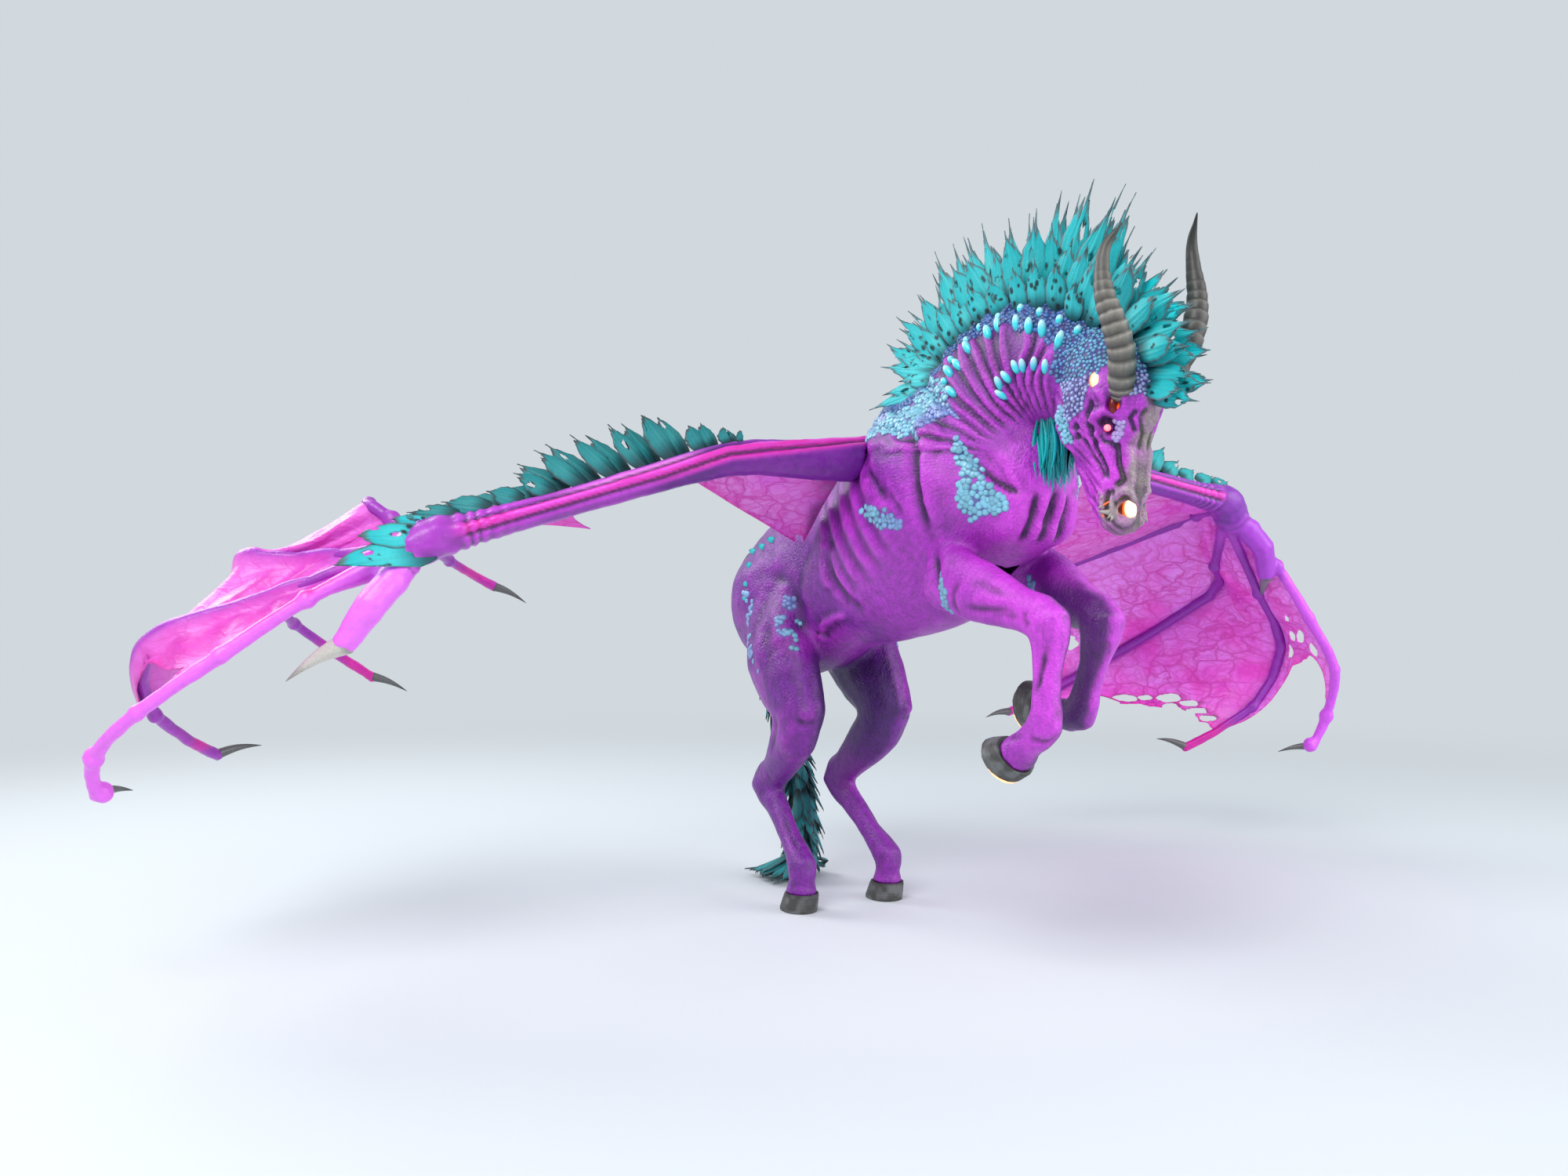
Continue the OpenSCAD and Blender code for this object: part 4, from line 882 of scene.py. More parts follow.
def arm_colours(s, p, place, colour):
    """The pink band over the arm with a painted highlight along its middle, its edges, and the scales on top.
    """
    if s < 0:
        pinker = step(place.t, 0.36, 0.62) * np.maximum(place.within, step(-place.away, -22, -12))
        colour = blended(colour, linear(0.74, 0.24, 0.80), 0.62 * pinker * step(noise(p, 16, 48), -0.9, 0.4))
    colour = blended(colour, HOT_PINK, 0.95 * place.stripe(0, 19, 4))
    # Painted highlight along the raised middle of the band
    colour = blended(colour, BRIGHT, 0.85 * place.stripe(3, 4.5) * step(noise(p, 12, 45), -0.5, 0.3))
    colour = blended(colour, HOT_PINK, 0.8 * place.stripe(-31, 8) * step(-place.t, -0.6, -0.35))
    if s < 0:
        pale = place.stripe(31, 9) * step(place.t, 0.36, 0.46) * step(-place.t, -0.78, -0.6)
        colour = blended(colour, PALE_PINK, 0.85 * pale)
    scaly = place.within * np.exp(-((place.lift - 88) / 16) ** 2)
    scaly *= step(place.t, 0.33, 0.38) * step(-place.t, -0.52, -0.46) * step(noise(p, 2.2, 47), -0.6, 0.2)
    return blended(colour, linear(0.16, 0.45, 0.70), 0.9 * scaly)


def finger_colours(s, p, place, form, colour):
    """The first finger is bright with a hot top, and the others are dark with hot ends."""
    for i in range(4):
        away, share = distance_to(p, finger_line(s, i))
        on_finger = step(-away, -7, -5) * step(share, 0.02, 0.12) * (1 - place.within)
        if i == 0:
            colour = blended(colour, BRIGHT if s < 0 else linear(0.85, 0.33, 0.92), 0.9 * on_finger)
            top = step(form.normals[:, 2], 0.1, 0.7)
            colour = blended(colour, HOT_PINK, 0.75 * on_finger * top * step(-share, -0.45, -0.25))
        else:
            colour = blended(colour, linear(0.55, 0.12, 0.66), 0.85 * on_finger)
            end = step(share, 0.78, 0.9) * step(noise(p, 9, 46), -0.6, 0.2)
            colour = blended(colour, HOT_PINK, 0.8 * on_finger * end)
    away, share = distance_to(p, on_hand(s, THUMB, False))
    on_thumb = step(-away, -10, -7) * step(share, 0.05, 0.3) * (1 - place.within)
    return blended(colour, linear(0.95, 0.45, 0.97) if s < 0 else linear(0.66, 0.22, 0.80), 0.9 * on_thumb)


def wing_limb(s):
    """Arm, hand and fingers of one wing as one skin."""
    side = SIDE_NAME[s]
    nodes = [f"wing_arm_{side}", f"thumb_{side}"] + [f"finger_{i}_{side}" for i in range(1, 5)]
    form = Sculpture(fused(f"limb_{side}", nodes, limb_knuckles(s), 0.8, 0.15))
    form.smooth(10, 0.4)
    p = form.points
    place = ArmPlace(s, p)
    shape_limb(form, place, p)
    cavity = form.relief - relax(form.relief[:, None], form.edges, 10, 0.5)[:, 0]

    colour = coat(VIOLET if s < 0 else linear(0.50, 0.14, 0.66), len(p))
    colour = blended(colour, PURPLE, 0.6 * step(noise(p, 15, 44), -0.2, 0.7))
    hand = step(place.from_wrist, 8, 30) * (1 - place.within)
    colour = blended(colour, MAGENTA if s < 0 else linear(0.78, 0.26, 0.84), 0.85 * hand)
    colour = arm_colours(s, p, place, colour)
    colour = finger_colours(s, p, place, form, colour)
    # Painted highlight on raised places and painted shade in sunk ones
    colour = blended(colour, ORCHID, 0.5 * np.clip(cavity / 0.4, 0, 1))
    paint(form.mesh, blended(colour, PLUM, 0.8 * np.clip(-cavity / 0.4, 0, 1)))
    dress(f"wing_limb_{side}", form.mesh, f"{side}_wing", "wing_pink", nodes, limb_paint.material)


# ---- Wing skins -------------------------------------------------------------------------------

skin_paint = Shade("wing_membrane", 0.4, Coat_Weight=0.2, Coat_Roughness=0.35)
skin_place = skin_paint.add("ShaderNodeMapping", Vector=skin_paint.place, Scale=(1.0, 0.85, 1.6)).outputs[0]
skin_warp = skin_paint.add("ShaderNodeTexNoise", Vector=skin_place, Scale=60, Detail=3).outputs["Color"]
warped = skin_paint.add("ShaderNodeMixRGB", {"blend_type": "LINEAR_LIGHT"}, Fac=0.011, Color1=skin_place,
                        Color2=skin_warp).outputs[0]


def vein_lines(size_mm, width):
    """A net of lines between cells of a size; width is the share of a cell that a line fades over."""
    net = skin_paint.add("ShaderNodeTexVoronoi", {"feature": "DISTANCE_TO_EDGE"}, Vector=warped,
                         Scale=1000 / size_mm).outputs["Distance"]
    return skin_paint.ramp(net, (0.0, 1.0), (width, 0.0))


small_veins = skin_paint.maths("MULTIPLY", vein_lines(6.0, 0.17), 0.55)
veins = skin_paint.maths("MAXIMUM", vein_lines(14, 0.10), small_veins)
vein_share = skin_paint.maths("MULTIPLY", veins, skin_paint.stored("vein", "Fac"))
skin_colour = skin_paint.toned(0.35, skin_paint.noise(3.5, 4), 0.38, 0.66)
vein_tint = skin_paint.maths("MULTIPLY", vein_share, 0.8)
skin_colour = skin_paint.mix(vein_tint, skin_colour, linear(0.86, 0.09, 0.68))
skin_creases = skin_paint.maths("MULTIPLY", skin_paint.noise(1.5, 3), 0.3)
skin_paint.bump(skin_paint.maths("ADD", vein_share, skin_creases), 0.5, 0.7)
skin_paint.finish(skin_colour)


def as_sheet(obj, thickness, rim_passes=0):
    """Drops an open mesh's loose points, smooths its rim and gives it a thickness."""
    bm = bmesh.new()
    bm.from_mesh(obj.data)
    bmesh.ops.delete(bm, geom=[v for v in bm.verts if not v.link_faces], context="VERTS")
    rim = [v for v in bm.verts if v.is_boundary]
    for _ in range(rim_passes):
        bmesh.ops.smooth_vert(bm, verts=rim, factor=0.5, use_axis_x=True, use_axis_y=True, use_axis_z=True)
    bm.to_mesh(obj.data)
    bm.free()
    solid = obj.modifiers.new("thickness", "SOLIDIFY")
    solid.thickness = thickness * MM
    solid.offset = 0
    return solid


def quads_of(rows, columns):
    """The four corners of each square of a grid of points."""
    index = np.arange(rows * columns).reshape(rows, columns)
    corners = index[:-1, :-1], index[1:, :-1], index[1:, 1:], index[:-1, 1:]
    return np.stack(corners, axis=-1).reshape(-1, 4)


def sheet(name, body, grid, keep, colour, vein, *nodes):
    """A thin skin over a grid of points; keep says which points stay, and the rest are torn away."""
    quads = quads_of(*grid.shape[:2])
    whole = keep.ravel()[quads].sum(axis=1) >= 3
    obj = make(name, grid.reshape(-1, 3), quads[whole], skin_paint.material, body, "wing_skin", nodes,
               colour.reshape(-1, 3))
    obj.data.color_attributes.active_color_index = 0
    store(obj.data, "vein", vein.ravel())
    as_sheet(obj, 0.5, rim_passes=3)


WEB_NOTCH = [0.3, 0.12, 0.2]
# Tears between the fingers, as [place across the webs, place along them, half width across, half width along]
TEARS = {
    -1: [(0.06, 0.93, 0.10, 0.012), (0.9, 0.97, 0.05, 0.02)],
    1: [(0.42, 0.44, 0.10, 0.022), (0.60, 0.43, 0.09, 0.02), (0.25, 0.50, 0.05, 0.02),
        (0.78, 0.50, 0.05, 0.018), (0.5, 0.36, 0.04, 0.01), (1.14, 0.83, 0.030, 0.012),
        (1.24, 0.80, 0.05, 0.012), (1.33, 0.77, 0.05, 0.014), (1.40, 0.795, 0.03, 0.01),
        (1.47, 0.765, 0.05, 0.014), (1.56, 0.78, 0.03, 0.010), (1.64, 0.80, 0.05, 0.014),
        (1.76, 0.83, 0.04, 0.010), (2.35, 0.72, 0.10, 0.012)]}
HAND_ROWS, HAND_COLUMNS, LINE_POINTS = 150, 181, 240
SHEET_SIZE = 90


def noise_on(grid, size, seed, octaves=1):
    """Smooth noise at each point of a grid of points."""
    return noise(grid.reshape(-1, 3), size, seed, octaves).reshape(grid.shape[:2])


def hand_web(s):
    """The skin between the fingers as a grid, its places along them and across them, and its slackness."""
    v = np.linspace(0, 3, HAND_COLUMNS)
    web = np.minimum(v.astype(int), 2)
    within = v - web
    arch = np.sin(math.pi * within)
    long = [0.86, 0.80, 0.76, 0.72, 0.62] if s < 0 else [0.80, 0.80, 0.9, 0.96, 0.94]
    deep = [0.5, 0.42, 0.34, 0] if s < 0 else [0.22, 0.33, 0.34, 0]
    reach_at = np.interp(v, [0, 0.5, 1, 2, 3], long)
    notch = np.interp(v, [0, 0.35, 0.8, 1.0], deep) * (v < 1) + (v >= 1) * np.array(WEB_NOTCH)[web] * arch
    notch = np.where(v < 1, notch * np.minimum(arch * 1.4, 1), notch)
    u = np.linspace(0.05, 1, HAND_ROWS)[:, None] * (reach_at * (1 - notch))[None, :]
    lines = [finger_line(s, i, LINE_POINTS) for i in range(4)]
    grid = np.zeros((HAND_ROWS, HAND_COLUMNS, 3))
    for k in range(HAND_COLUMNS):
        a, b = along_line(lines[web[k]], u[:, k]), along_line(lines[web[k] + 1], u[:, k])
        grid[:, k] = a + (b - a) * within[k]
    grid[..., 2] -= 4 * arch * np.sin(math.pi * np.clip(u, 0, 1))
    return grid, u, v, arch


def hand_folds(s, grid, u, v, arch):
    """Lifts the skin over the fingers and gives it folds; returns the grid and its fold lines."""
    outward = unit(np.cross(np.gradient(grid, axis=0), np.gradient(grid, axis=1))) * -1.0 * s
    if np.mean(outward[..., 2]) < 0:
        outward = -outward
    cover = np.exp(-((v - 1) / 0.09) ** 2) + np.exp(-((v - 2) / 0.09) ** 2)
    lift = 0.4 + (3.0 * step(u, 0.06, 0.2) * step(-u, -0.86, -0.7) if s < 0 else 1.2) * cover[None, :]
    grid = grid + outward * (lift * np.ones(u.shape))[..., None]
    fold = np.sin(2 * math.pi * (u * 9 + 0.8 * v + 0.5 * noise_on(grid, 25, 50)))
    grid = grid + outward * ((0.9 if s < 0 else 0.5) * fold * arch)[..., None]
    return grid + outward * (0.35 * noise_on(grid, 9, 51))[..., None], fold


def hand_colours(s, grid, u, v, arch, fold):
    """Pale and hot patches, streaks along the folds and darker skin over the fingers."""
    flat, across = grid.reshape(-1, 3), np.broadcast_to(v, u.shape).ravel()
    along = u.ravel()
    # The left wing's skin is paler: painted light, standing for light that shines through it
    colour = coat(linear(0.90, 0.40, 0.84) if s < 0 else linear(1.0, 0.52, 0.93), len(flat))
    colour = blended(colour, PALE_PINK, (0.45 if s < 0 else 0.8) * step(noise(flat, 22, 53), -0.1, 0.8))
    hot = step(noise(flat, 17, 54, 2), 0.1, 1.0)
    colour = blended(colour, linear(0.92, 0.20, 0.76), (0.6 if s < 0 else 0.75) * hot)
    first_web = step(across, 0.0, 0.6) * step(-across, -1.05, -0.6)
    colour = blended(colour, linear(0.88, 0.18, 0.70), (0.6 if s < 0 else 0.35) * first_web)
    if s > 0:
        middle_web = step(across, 0.95, 1.1) * step(-across, -2.02, -1.85) * step(along, 0.15, 0.5)
        middle_web *= step(noise(flat, 14, 56, 2), -1.0, 0.6)
        colour = blended(colour, linear(0.95, 0.17, 0.78), 0.6 * middle_web)
    from_finger = np.minimum(abs(across - 1), abs(across - 2)) / (0.042 if s < 0 else 0.05)
    colour = blended(colour, linear(0.58, 0.14, 0.70), 0.95 * np.exp(-from_finger ** 2))
    return blended(colour, linear(0.62, 0.25, 0.78), 0.5 * step(-along, -0.3, -0.06))


def hand_sheet(s):
    """The skin between the fingers of one wing, with ragged ends and tears."""
    side = SIDE_NAME[s]
    grid, u, v, arch = hand_web(s)
    grid, fold = hand_folds(s, grid, u, v, arch)
    flat = grid.reshape(-1, 3)
    jag = noise_on(grid, 7, 52, 3)
    edge = np.linspace(0, 1, HAND_ROWS)[:, None] + 0.03 * jag
    keep = edge < 0.985
    burnt = np.zeros(u.shape)
    for tear_v, tear_u, half_v, half_u in TEARS[s]:
        r = np.hypot((v - tear_v) / half_v, (u - tear_u) / half_u) / (1 + 0.35 * jag)
        keep &= r > 1
        burnt = np.maximum(burnt, np.exp(-((r - 1) / 0.45) ** 2) * (1 < tear_v < 2))
    colour = hand_colours(s, grid, u, v, arch, fold)
    colour = blended(colour, HOT_PINK, 0.7 * step(edge, 0.93, 1.0).ravel())
    ash = burnt.ravel() * step(noise(flat, 2.5, 55), -0.6, 0.3)
    colour = blended(colour, linear(0.20, 0.18, 0.20), 0.85 * ash)
    streak = (np.clip(fold, 0, 1) * arch).ravel()
    colour = blended(colour, linear(0.82, 0.20, 0.70), (0.85 if s < 0 else 0.3) * streak)
    # Painted light: the left wing's skin, which faces away from the lamps, is made brighter
    colour = np.minimum(colour * (1.0 if s < 0 else 1.22), 1.0)
    strength = (0.6 if s < 0 else 1.0) * (0.4 + 0.6 * arch) * np.ones(u.shape)
    sheet(f"hand_membrane_{side}", f"{side}_wing", grid, keep, colour, strength, f"hand_skin_{side}")


def flank_sheet(s, u, v):
    """The skin from the upper arm down to a corner on the flank; returns its grid."""
    side = SIDE_NAME[s]
    corner = np.array((7.7, s * 26.5, 169.9))
    arm = np.array([on_arm(s, t) for t in np.linspace(-0.9, 0.17, SHEET_SIZE)])
    grid = arm[None] + (corner - arm[None]) * (u * (1 - 0.12 * np.sin(math.pi * v)))[..., None]
    grid[..., 0] += 1.4 * noise_on(grid, 24, 60) * np.sin(math.pi * u / 0.97)
    flat, across = grid.reshape(-1, 3), v.ravel()
    colour = blended(coat(PALE_PINK, len(flat)), MAGENTA, 0.7 * step(noise(flat, 16, 61), -0.2, 0.7))
    # Painted shade: darker plum where the skin meets the body at the shoulder
    shade_by_body = step(-across, -0.3, -0.06) * step(noise(flat, 12, 62), -1.4, 0.3)
    colour = blended(colour, PLUM, 0.8 * shade_by_body)
    colour = blended(colour, HOT_PINK, 0.6 * step(across, 0.93, 1.0) + 0.5 * step(u.ravel(), 0.75, 0.97))
    sheet(f"flank_membrane_{side}", f"{side}_wing", grid, u < 2, colour, 0.6 + 0.4 * v, f"arm_skin_{side}")
    return grid


def torn_sheet(s, u, v, flank):
    """A torn rag of skin under the right forearm."""
    side = SIDE_NAME[s]
    tip = on_arm(s, 0.4) + [-24, 0, -14]
    arm = np.array([on_arm(s, t) for t in np.linspace(0.54, 0.82, SHEET_SIZE)])
    grid = arm[None] + (tip - arm[None]) * (u * (1 + 0.1 * noise_on(flank, 30, 63)))[..., None]
    colour = blended(coat(MAGENTA, u.size), HOT_PINK, 0.5 + 0.5 * noise(grid.reshape(-1, 3), 8, 64))
    keep = np.abs(v - 0.5) < 0.5 * (1 - 0.75 * u) + 0.06 * noise_on(grid, 6, 65)
    veined = 0.8 * np.ones(u.shape)
    sheet(f"torn_membrane_{side}", f"{side}_wing", grid, keep, colour, veined, f"arm_skin_{side}")


def rear_sheet(s, v):
    """The skin between the left forearm and its last finger."""
    side = SIDE_NAME[s]
    w = np.linspace(0.06, 0.95, SHEET_SIZE)[:, None] * (1 - 0.15 * np.sin(math.pi * v))
    arm = np.array([on_arm(s, t) for t in np.linspace(0.1, 1, 100)])
    a = along_line(finger_line(s, 3, LINE_POINTS), w.ravel()).reshape(*w.shape, 3)
    b = along_line(arm, 1 - w.ravel()).reshape(*w.shape, 3)
    grid = a + (b - a) * v[..., None]
    grid[..., 2] -= 5 * np.sin(math.pi * v) * np.sin(math.pi * w)
    grid[..., 2] += 0.8 * noise_on(grid, 12, 66)
    flat = grid.reshape(-1, 3)
    colour = blended(coat(PALE_PINK, len(flat)), MAGENTA, 0.8 * step(noise(flat, 18, 67), -0.3, 0.6))
    keep = np.linspace(0, 1, SHEET_SIZE)[:, None] + 0.03 * noise_on(grid, 6, 68, 2) < 0.98
    sheet(f"rear_membrane_{side}", f"{side}_wing", grid, keep, colour, np.ones(w.shape), f"arm_skin_{side}")


for s in (-1, 1):
    wing_limb(s)
    hand_sheet(s)
    across, along = np.meshgrid(np.linspace(0, 1, SHEET_SIZE), np.linspace(0, 0.97, SHEET_SIZE))
    flank = flank_sheet(s, along, across)
    if s < 0:
        torn_sheet(s, along, across, flank)
    else:
        rear_sheet(s, across)


# ---- Leaves -----------------------------------------------------------------------------------

TEAL = linear(0.0, 0.83, 0.86)
PALE_TEAL = linear(0.35, 0.96, 0.96)
DEEP_TEAL = linear(0.0, 0.30, 0.34)
ASH = linear(0.42, 0.49, 0.51)
BLACK_TEAL = linear(0.01, 0.10, 0.12)

leaf_paint = Shade("leaf_front", 0.4, Coat_Weight=0.2, Coat_Roughness=0.3)
leaf_paint.bump(leaf_paint.noise(0.9, 4, 0.6, (1, 1, 0.4)), 0.2, 0.5)
leaf_paint.finish(leaf_paint.toned(0.3, leaf_paint.noise(1.6, 4), 0.38, 0.62))
leaf_back = Shade("leaf_back", 0.55)
back_tones = (0.35, BLACK_TEAL), (0.62, linear(0.02, 0.42, 0.44))
back_grain = leaf_back.ramp(leaf_back.noise(0.8, 3, 0.7), *back_tones)
leaf_back.bump(leaf_back.noise(0.9, 3), 0.25, 0.6)
leaf_back.finish(leaf_back.mix(0.35, leaf_back.stored(), back_grain, "MULTIPLY"))

ROWS_UP, ROWS_ACROSS = 44, 19


def leaf_form(rng, length, width, spikes, bend, cup, blunt):
    """A leaf's places along, across and up its rows, and its points' offsets across it and out of it."""
    v = np.linspace(-1, 1, ROWS_ACROSS)[None, :]
    tips = rng.uniform(-0.75, 0.75, spikes)
    tips[0] = rng.uniform(-0.2, 0.2)
    rise = np.r_[1.0, rng.uniform(0.25, 0.75, spikes - 1)]
    top = blunt - 0.10 * np.abs(v[0]) ** 3 + 0.05 * np.sin(rng.uniform(0, 6) + 9 * v[0])
    for c, r in zip(tips, rise):
        spike = (1 - blunt) * r * np.clip(1 - np.abs(v[0] - c) / 0.42, 0, 1) ** 1.3
        top = np.maximum(top, blunt - 0.02 + spike)
    top = np.clip(top + 0.02 * rng.uniform(-1, 1, ROWS_ACROSS), 0, 1)
    w = np.linspace(0, 1, ROWS_UP)[:, None]
    u = w * top[None, :]
    taper = 1 - 0.35 * step(w, 0.72, 1.0)
    half = 0.5 * width * np.sin(math.pi * np.clip(0.17 + 0.62 * w ** 0.9, 0, 1)) * taper
    half = half * (1 + 0.05 * np.sin(w * rng.uniform(18, 30) + rng.uniform(0, 6)) * step(w, 0.35, 0.6))
    narrow = 1 - 0.55 * step(u, blunt - 0.06, 1.0)
    sideways = (v * narrow + tips[0] * (1 - narrow)) * half
    midrib = 0.03 * width * np.exp(-(v / 0.12) ** 2)
    barbs = 0.012 * width * np.cos(v * 17) * step(w, 0.1, 0.4)
    return u, v, w, sideways, -cup * half * v ** 2 + midrib + barbs - bend * length * u ** 2


def blots(rng, count, x, y, middle_x, middle_y, half_x, half_y):
    """For each of count ovals, every point's distance from its middle, which is 1 on its edge."""
    for _ in range(count):
        cx, cy = rng.uniform(-middle_x, middle_x), rng.uniform(*middle_y)
        rx, ry = rng.uniform(*half_x), rng.uniform(*half_y)
        yield np.hypot((x - cx) / rx, (y - cy) / ry)


def leaf(rng, root, direction, facing, length, width, spikes=3, bend=0.12, holes=1, spots=4, cup=0.28,
         blunt=0.72):
    """One quill leaf that grows from root along direction and looks facing: points, faces and colours."""
    along = unit(direction)
    across = unit(np.cross(along, facing))
    face = np.cross(across, along)
    u, v, w, x, depth = leaf_form(rng, length, width, spikes, bend, cup, blunt)
    y = u * length
    points = np.asarray(root) + y[..., None] * along + x[..., None] * across + depth[..., None] * face
    keep = np.ones(x.shape, bool)
    rim = np.zeros(x.shape)
    for r in blots(rng, holes, x, y, 0.3 * width, (0.45 * length, 0.78 * length), (0.55, 0.95), (0.8, 1.7)):
        keep &= r > 1
        rim = np.maximum(rim, np.exp(-((r - 1) / 0.5) ** 2))
    shade = rng.uniform(0, 1)
    u, v, w = u.ravel(), np.broadcast_to(v, u.shape).ravel(), np.broadcast_to(w, u.shape).ravel()
    middle = np.exp(-((w - 0.5) / 0.28) ** 2) * (1 - v ** 2)
    colour = blended(coat(TEAL, x.size), PALE_TEAL, (0.25 + 0.5 * shade) * middle)
    # Painted shade at the base of each leaf, where the leaves overlap
    colour = blended(colour, DEEP_TEAL, 0.92 * step(-w, -0.5, -0.08))
    for r in blots(rng, spots, x, y, 0.35 * width, (0.12 * length, 0.66 * length), (0.35, 0.95), (0.5, 1.6)):
        colour = blended(colour, BLACK_TEAL, 0.95 * step(-r.ravel(), -1.25, -0.8))
    edge = np.maximum(step(np.abs(v), 0.78, 0.95) * step(w, 0.15, 0.4), step(w, 0.86, 0.95))
    edge = np.maximum(edge, step(u, blunt, blunt + 0.1))
    colour = blended(colour, ASH, 0.95 * np.maximum(edge, 0.7 * rim.ravel()))
    colour = blended(colour, BLACK_TEAL, 0.5 * step(u, 0.93, 1.0))
    quads = quads_of(ROWS_UP, ROWS_ACROSS)
    whole = keep.ravel()[quads].all(axis=1)
    return points.reshape(-1, 3), quads[whole], colour


def leaves(name, body, parts, *nodes, slot="teal_leaf"):
    """One object from many leaves, with a front and a darker back."""
    obj = join(name, parts, leaf_paint.material, body, slot, nodes)
    obj.data.materials.append(leaf_back.material)
    as_sheet(obj, 0.35).material_offset = 1


body_faces = [tuple(f.vertices) for f in body_mesh.polygons]
body_tree = BVHTree.FromPolygons([Vector(p) for p in skin.points], body_faces)


def on_skin(p):
    """The nearest place on the body skin and the way out of it there."""
    place, normal, _, _ = body_tree.find_nearest(Vector(p))
    return np.array(place), np.array(normal)


def shot(start, direction):
    """Where a ray from start meets the body skin, or None."""
    place, normal, _, _ = body_tree.ray_cast(Vector(start), Vector(unit(direction)))
    return None if place is None else np.array(place)


CREST_TOP = [(104, 0, 248), (120, 0, 254), (134, 0, 256), (149, 0, 255), (159, 0, 253), (170, 0, 246),
             (179, 0, 241), (189, 0, 236), (194, 0, 231), (198, 0, 225), (200, 0, 218), (201, 0, 212)]
CREST = curve_points([(72, 0, 223), (90, 0, 237), *CREST_TOP], 8)
LEAF_LINE = curve_points([(87, 0, 234), (93, 0, 240), *CREST_TOP], 8)
crest_run = run_of(LEAF_LINE)
MANE_TIPS = np.array([(45, 253), (48, 264), (53, 276), (75, 293), (86, 295), (92, 301), (104, 298),
                      (114, 299), (132, 296), (144, 297), (158, 299), (168, 300), (185, 290), (188, 289),
                      (192, 281), (199, 266), (204, 265), (215, 246), (218, 240), (220, 232), (223, 224),
                      (224, 216), (222, 206)], float)
mane_low, mane_high = box_of("mane_leaves")


def crest_at(t):
    return along_line(LEAF_LINE, t, crest_run)


def tip_at(t):
    x, z = along_line(MANE_TIPS, t)
    return np.array((x, 0, z))


rng = np.random.default_rng(7)
mane = []
# The tall row stands on the crest; its leaves lean a little to either side in turn
for k in range(38):
    t = (k + 0.5) / 38
    root, tip = crest_at(t), tip_at(t)
    tip = tip + (rng.uniform(-3.5, 3.5), 0, rng.uniform(-3, 2))
    lean = 3.0 * (-1) ** k
    root[1] += 1.2 * (-1) ** k
    way = (tip - root) * (1.0 if k % 3 else 0.9)
    tip = np.clip(root + way + (0, lean, 0), mane_low + 0.5, mane_high - 0.8)
    way = tip - root
    length = np.linalg.norm(way)
    width = np.interp(t, [0, 0.12, 0.4, 0.75, 1], [9, 11, 12, 10.5, 7.5])
    facing = (0.5 + rng.uniform(-0.45, 0.35), -1, rng.uniform(-0.2, 0.2))
    mane.append(leaf(rng, root - 3 * unit(way), way, facing, length + 3, width, spikes=2 + k % 2, bend=0.02,
                     holes=1 + k % 2, spots=3))
leaves("mane_tall_leaves", "root", mane, "mane_leaves")


ON_BROW = 0.72


def side_leaf(s, row, k, t, share, off, width):
    """A leaf against the side of the neck; row 0 is next to the crest, and past ON_BROW it is on the brow."""
    crest, tip = crest_at(t), tip_at(t)
    way = (tip - crest) + np.array((0, s * 5.0 * (1 + row), 0))
    away = unit(tip - crest)
    base = crest - away * (2.0 + 4.5 * row)
    start = base + np.array((0, s * 30, 0)) + away * 4
    hit = shot(start, (0, -s, -0.05)) if t < ON_BROW else None
    turn = math.radians(rng.uniform(-9, 9))
    way = np.array((way[0] * math.cos(turn) - way[2] * math.sin(turn), way[1],
                    way[0] * math.sin(turn) + way[2] * math.cos(turn)))
    root = np.array((base[0], s * off * (1 if t < ON_BROW else 0.5), base[2]))
    if hit is not None:
        root = hit - np.array((0, s * 1.2, 0))
    on_brow = t > ON_BROW and row == 0
    length = np.linalg.norm(way) * share * (1.38 if on_brow else 1.0) * rng.uniform(0.88, 1.08)
    outward = unit(way + np.array((0, s * length * (0.22 + 0.12 * row) * (1 if t < 0.7 else 0.3), 0)))
    facing = (0.45 + rng.uniform(-0.25, 0.25), s, rng.uniform(0.0, 0.3))
    width = width * np.interp(t, [0, 0.2, 0.7, 1], [0.8, 1, 0.95, 0.75])
    return leaf(rng, root, outward, facing, length, width, spikes=2 + k % 2, bend=0.03, holes=k % 2,
                spots=2 if on_brow else 5, blunt=0.86 if on_brow else 0.78)


# For each row: count of leaves, length as a share of the tall row's, distance from the middle, and width
SIDE_ROWS = ((21, 0.66, 5.0, 10.5), (15, 0.42, 9.0, 8.5))
flank_mane = []
for s in (-1, 1):
    for row, (count, share, off, width) in enumerate(SIDE_ROWS):
        for k in range(count):
            t = (k + 0.75) / (count + 0.5)
            if (row and (t > 0.66 or t < 0.05)) or (t > 0.74 and k % 2):
                continue
            flank_mane.append(side_leaf(s, row, k, t, share, off, width))
# The lowest leaves fan out backwards over the withers
for s in (-1, 1):
    for k in range(9):
        turn = math.radians(188 - 6.5 * k)
        root = np.array((90 + 1.0 * k, s * (5 + 2 * (k % 3)), 230 + 2.0 * k))
        hit = shot(root + (0, s * 20, 8), (0, -s, -0.4))
        if hit is not None:
            root = hit + (1.5, -s * 1.0, -0.5)
        way = np.array((math.cos(turn), s * 0.16, math.sin(turn)))
        long = (39 - 7 * (k % 3)) * rng.uniform(0.9, 1.08)
        flank_mane.append(leaf(rng, root, way, (0.3, s, 0.35), long, 9.5 - (k % 3), bend=0.03, spots=3,
                               blunt=0.76))
leaves("mane_side_leaves", "root", flank_mane, "side_mane_leaves")

# Leaves of the wings: small discs near the elbow, wider ones, then long ragged ones towards the wrist
ARM_LEAVES = 22
ARM_TONE = {-1: 0.45, 1: 0.7}
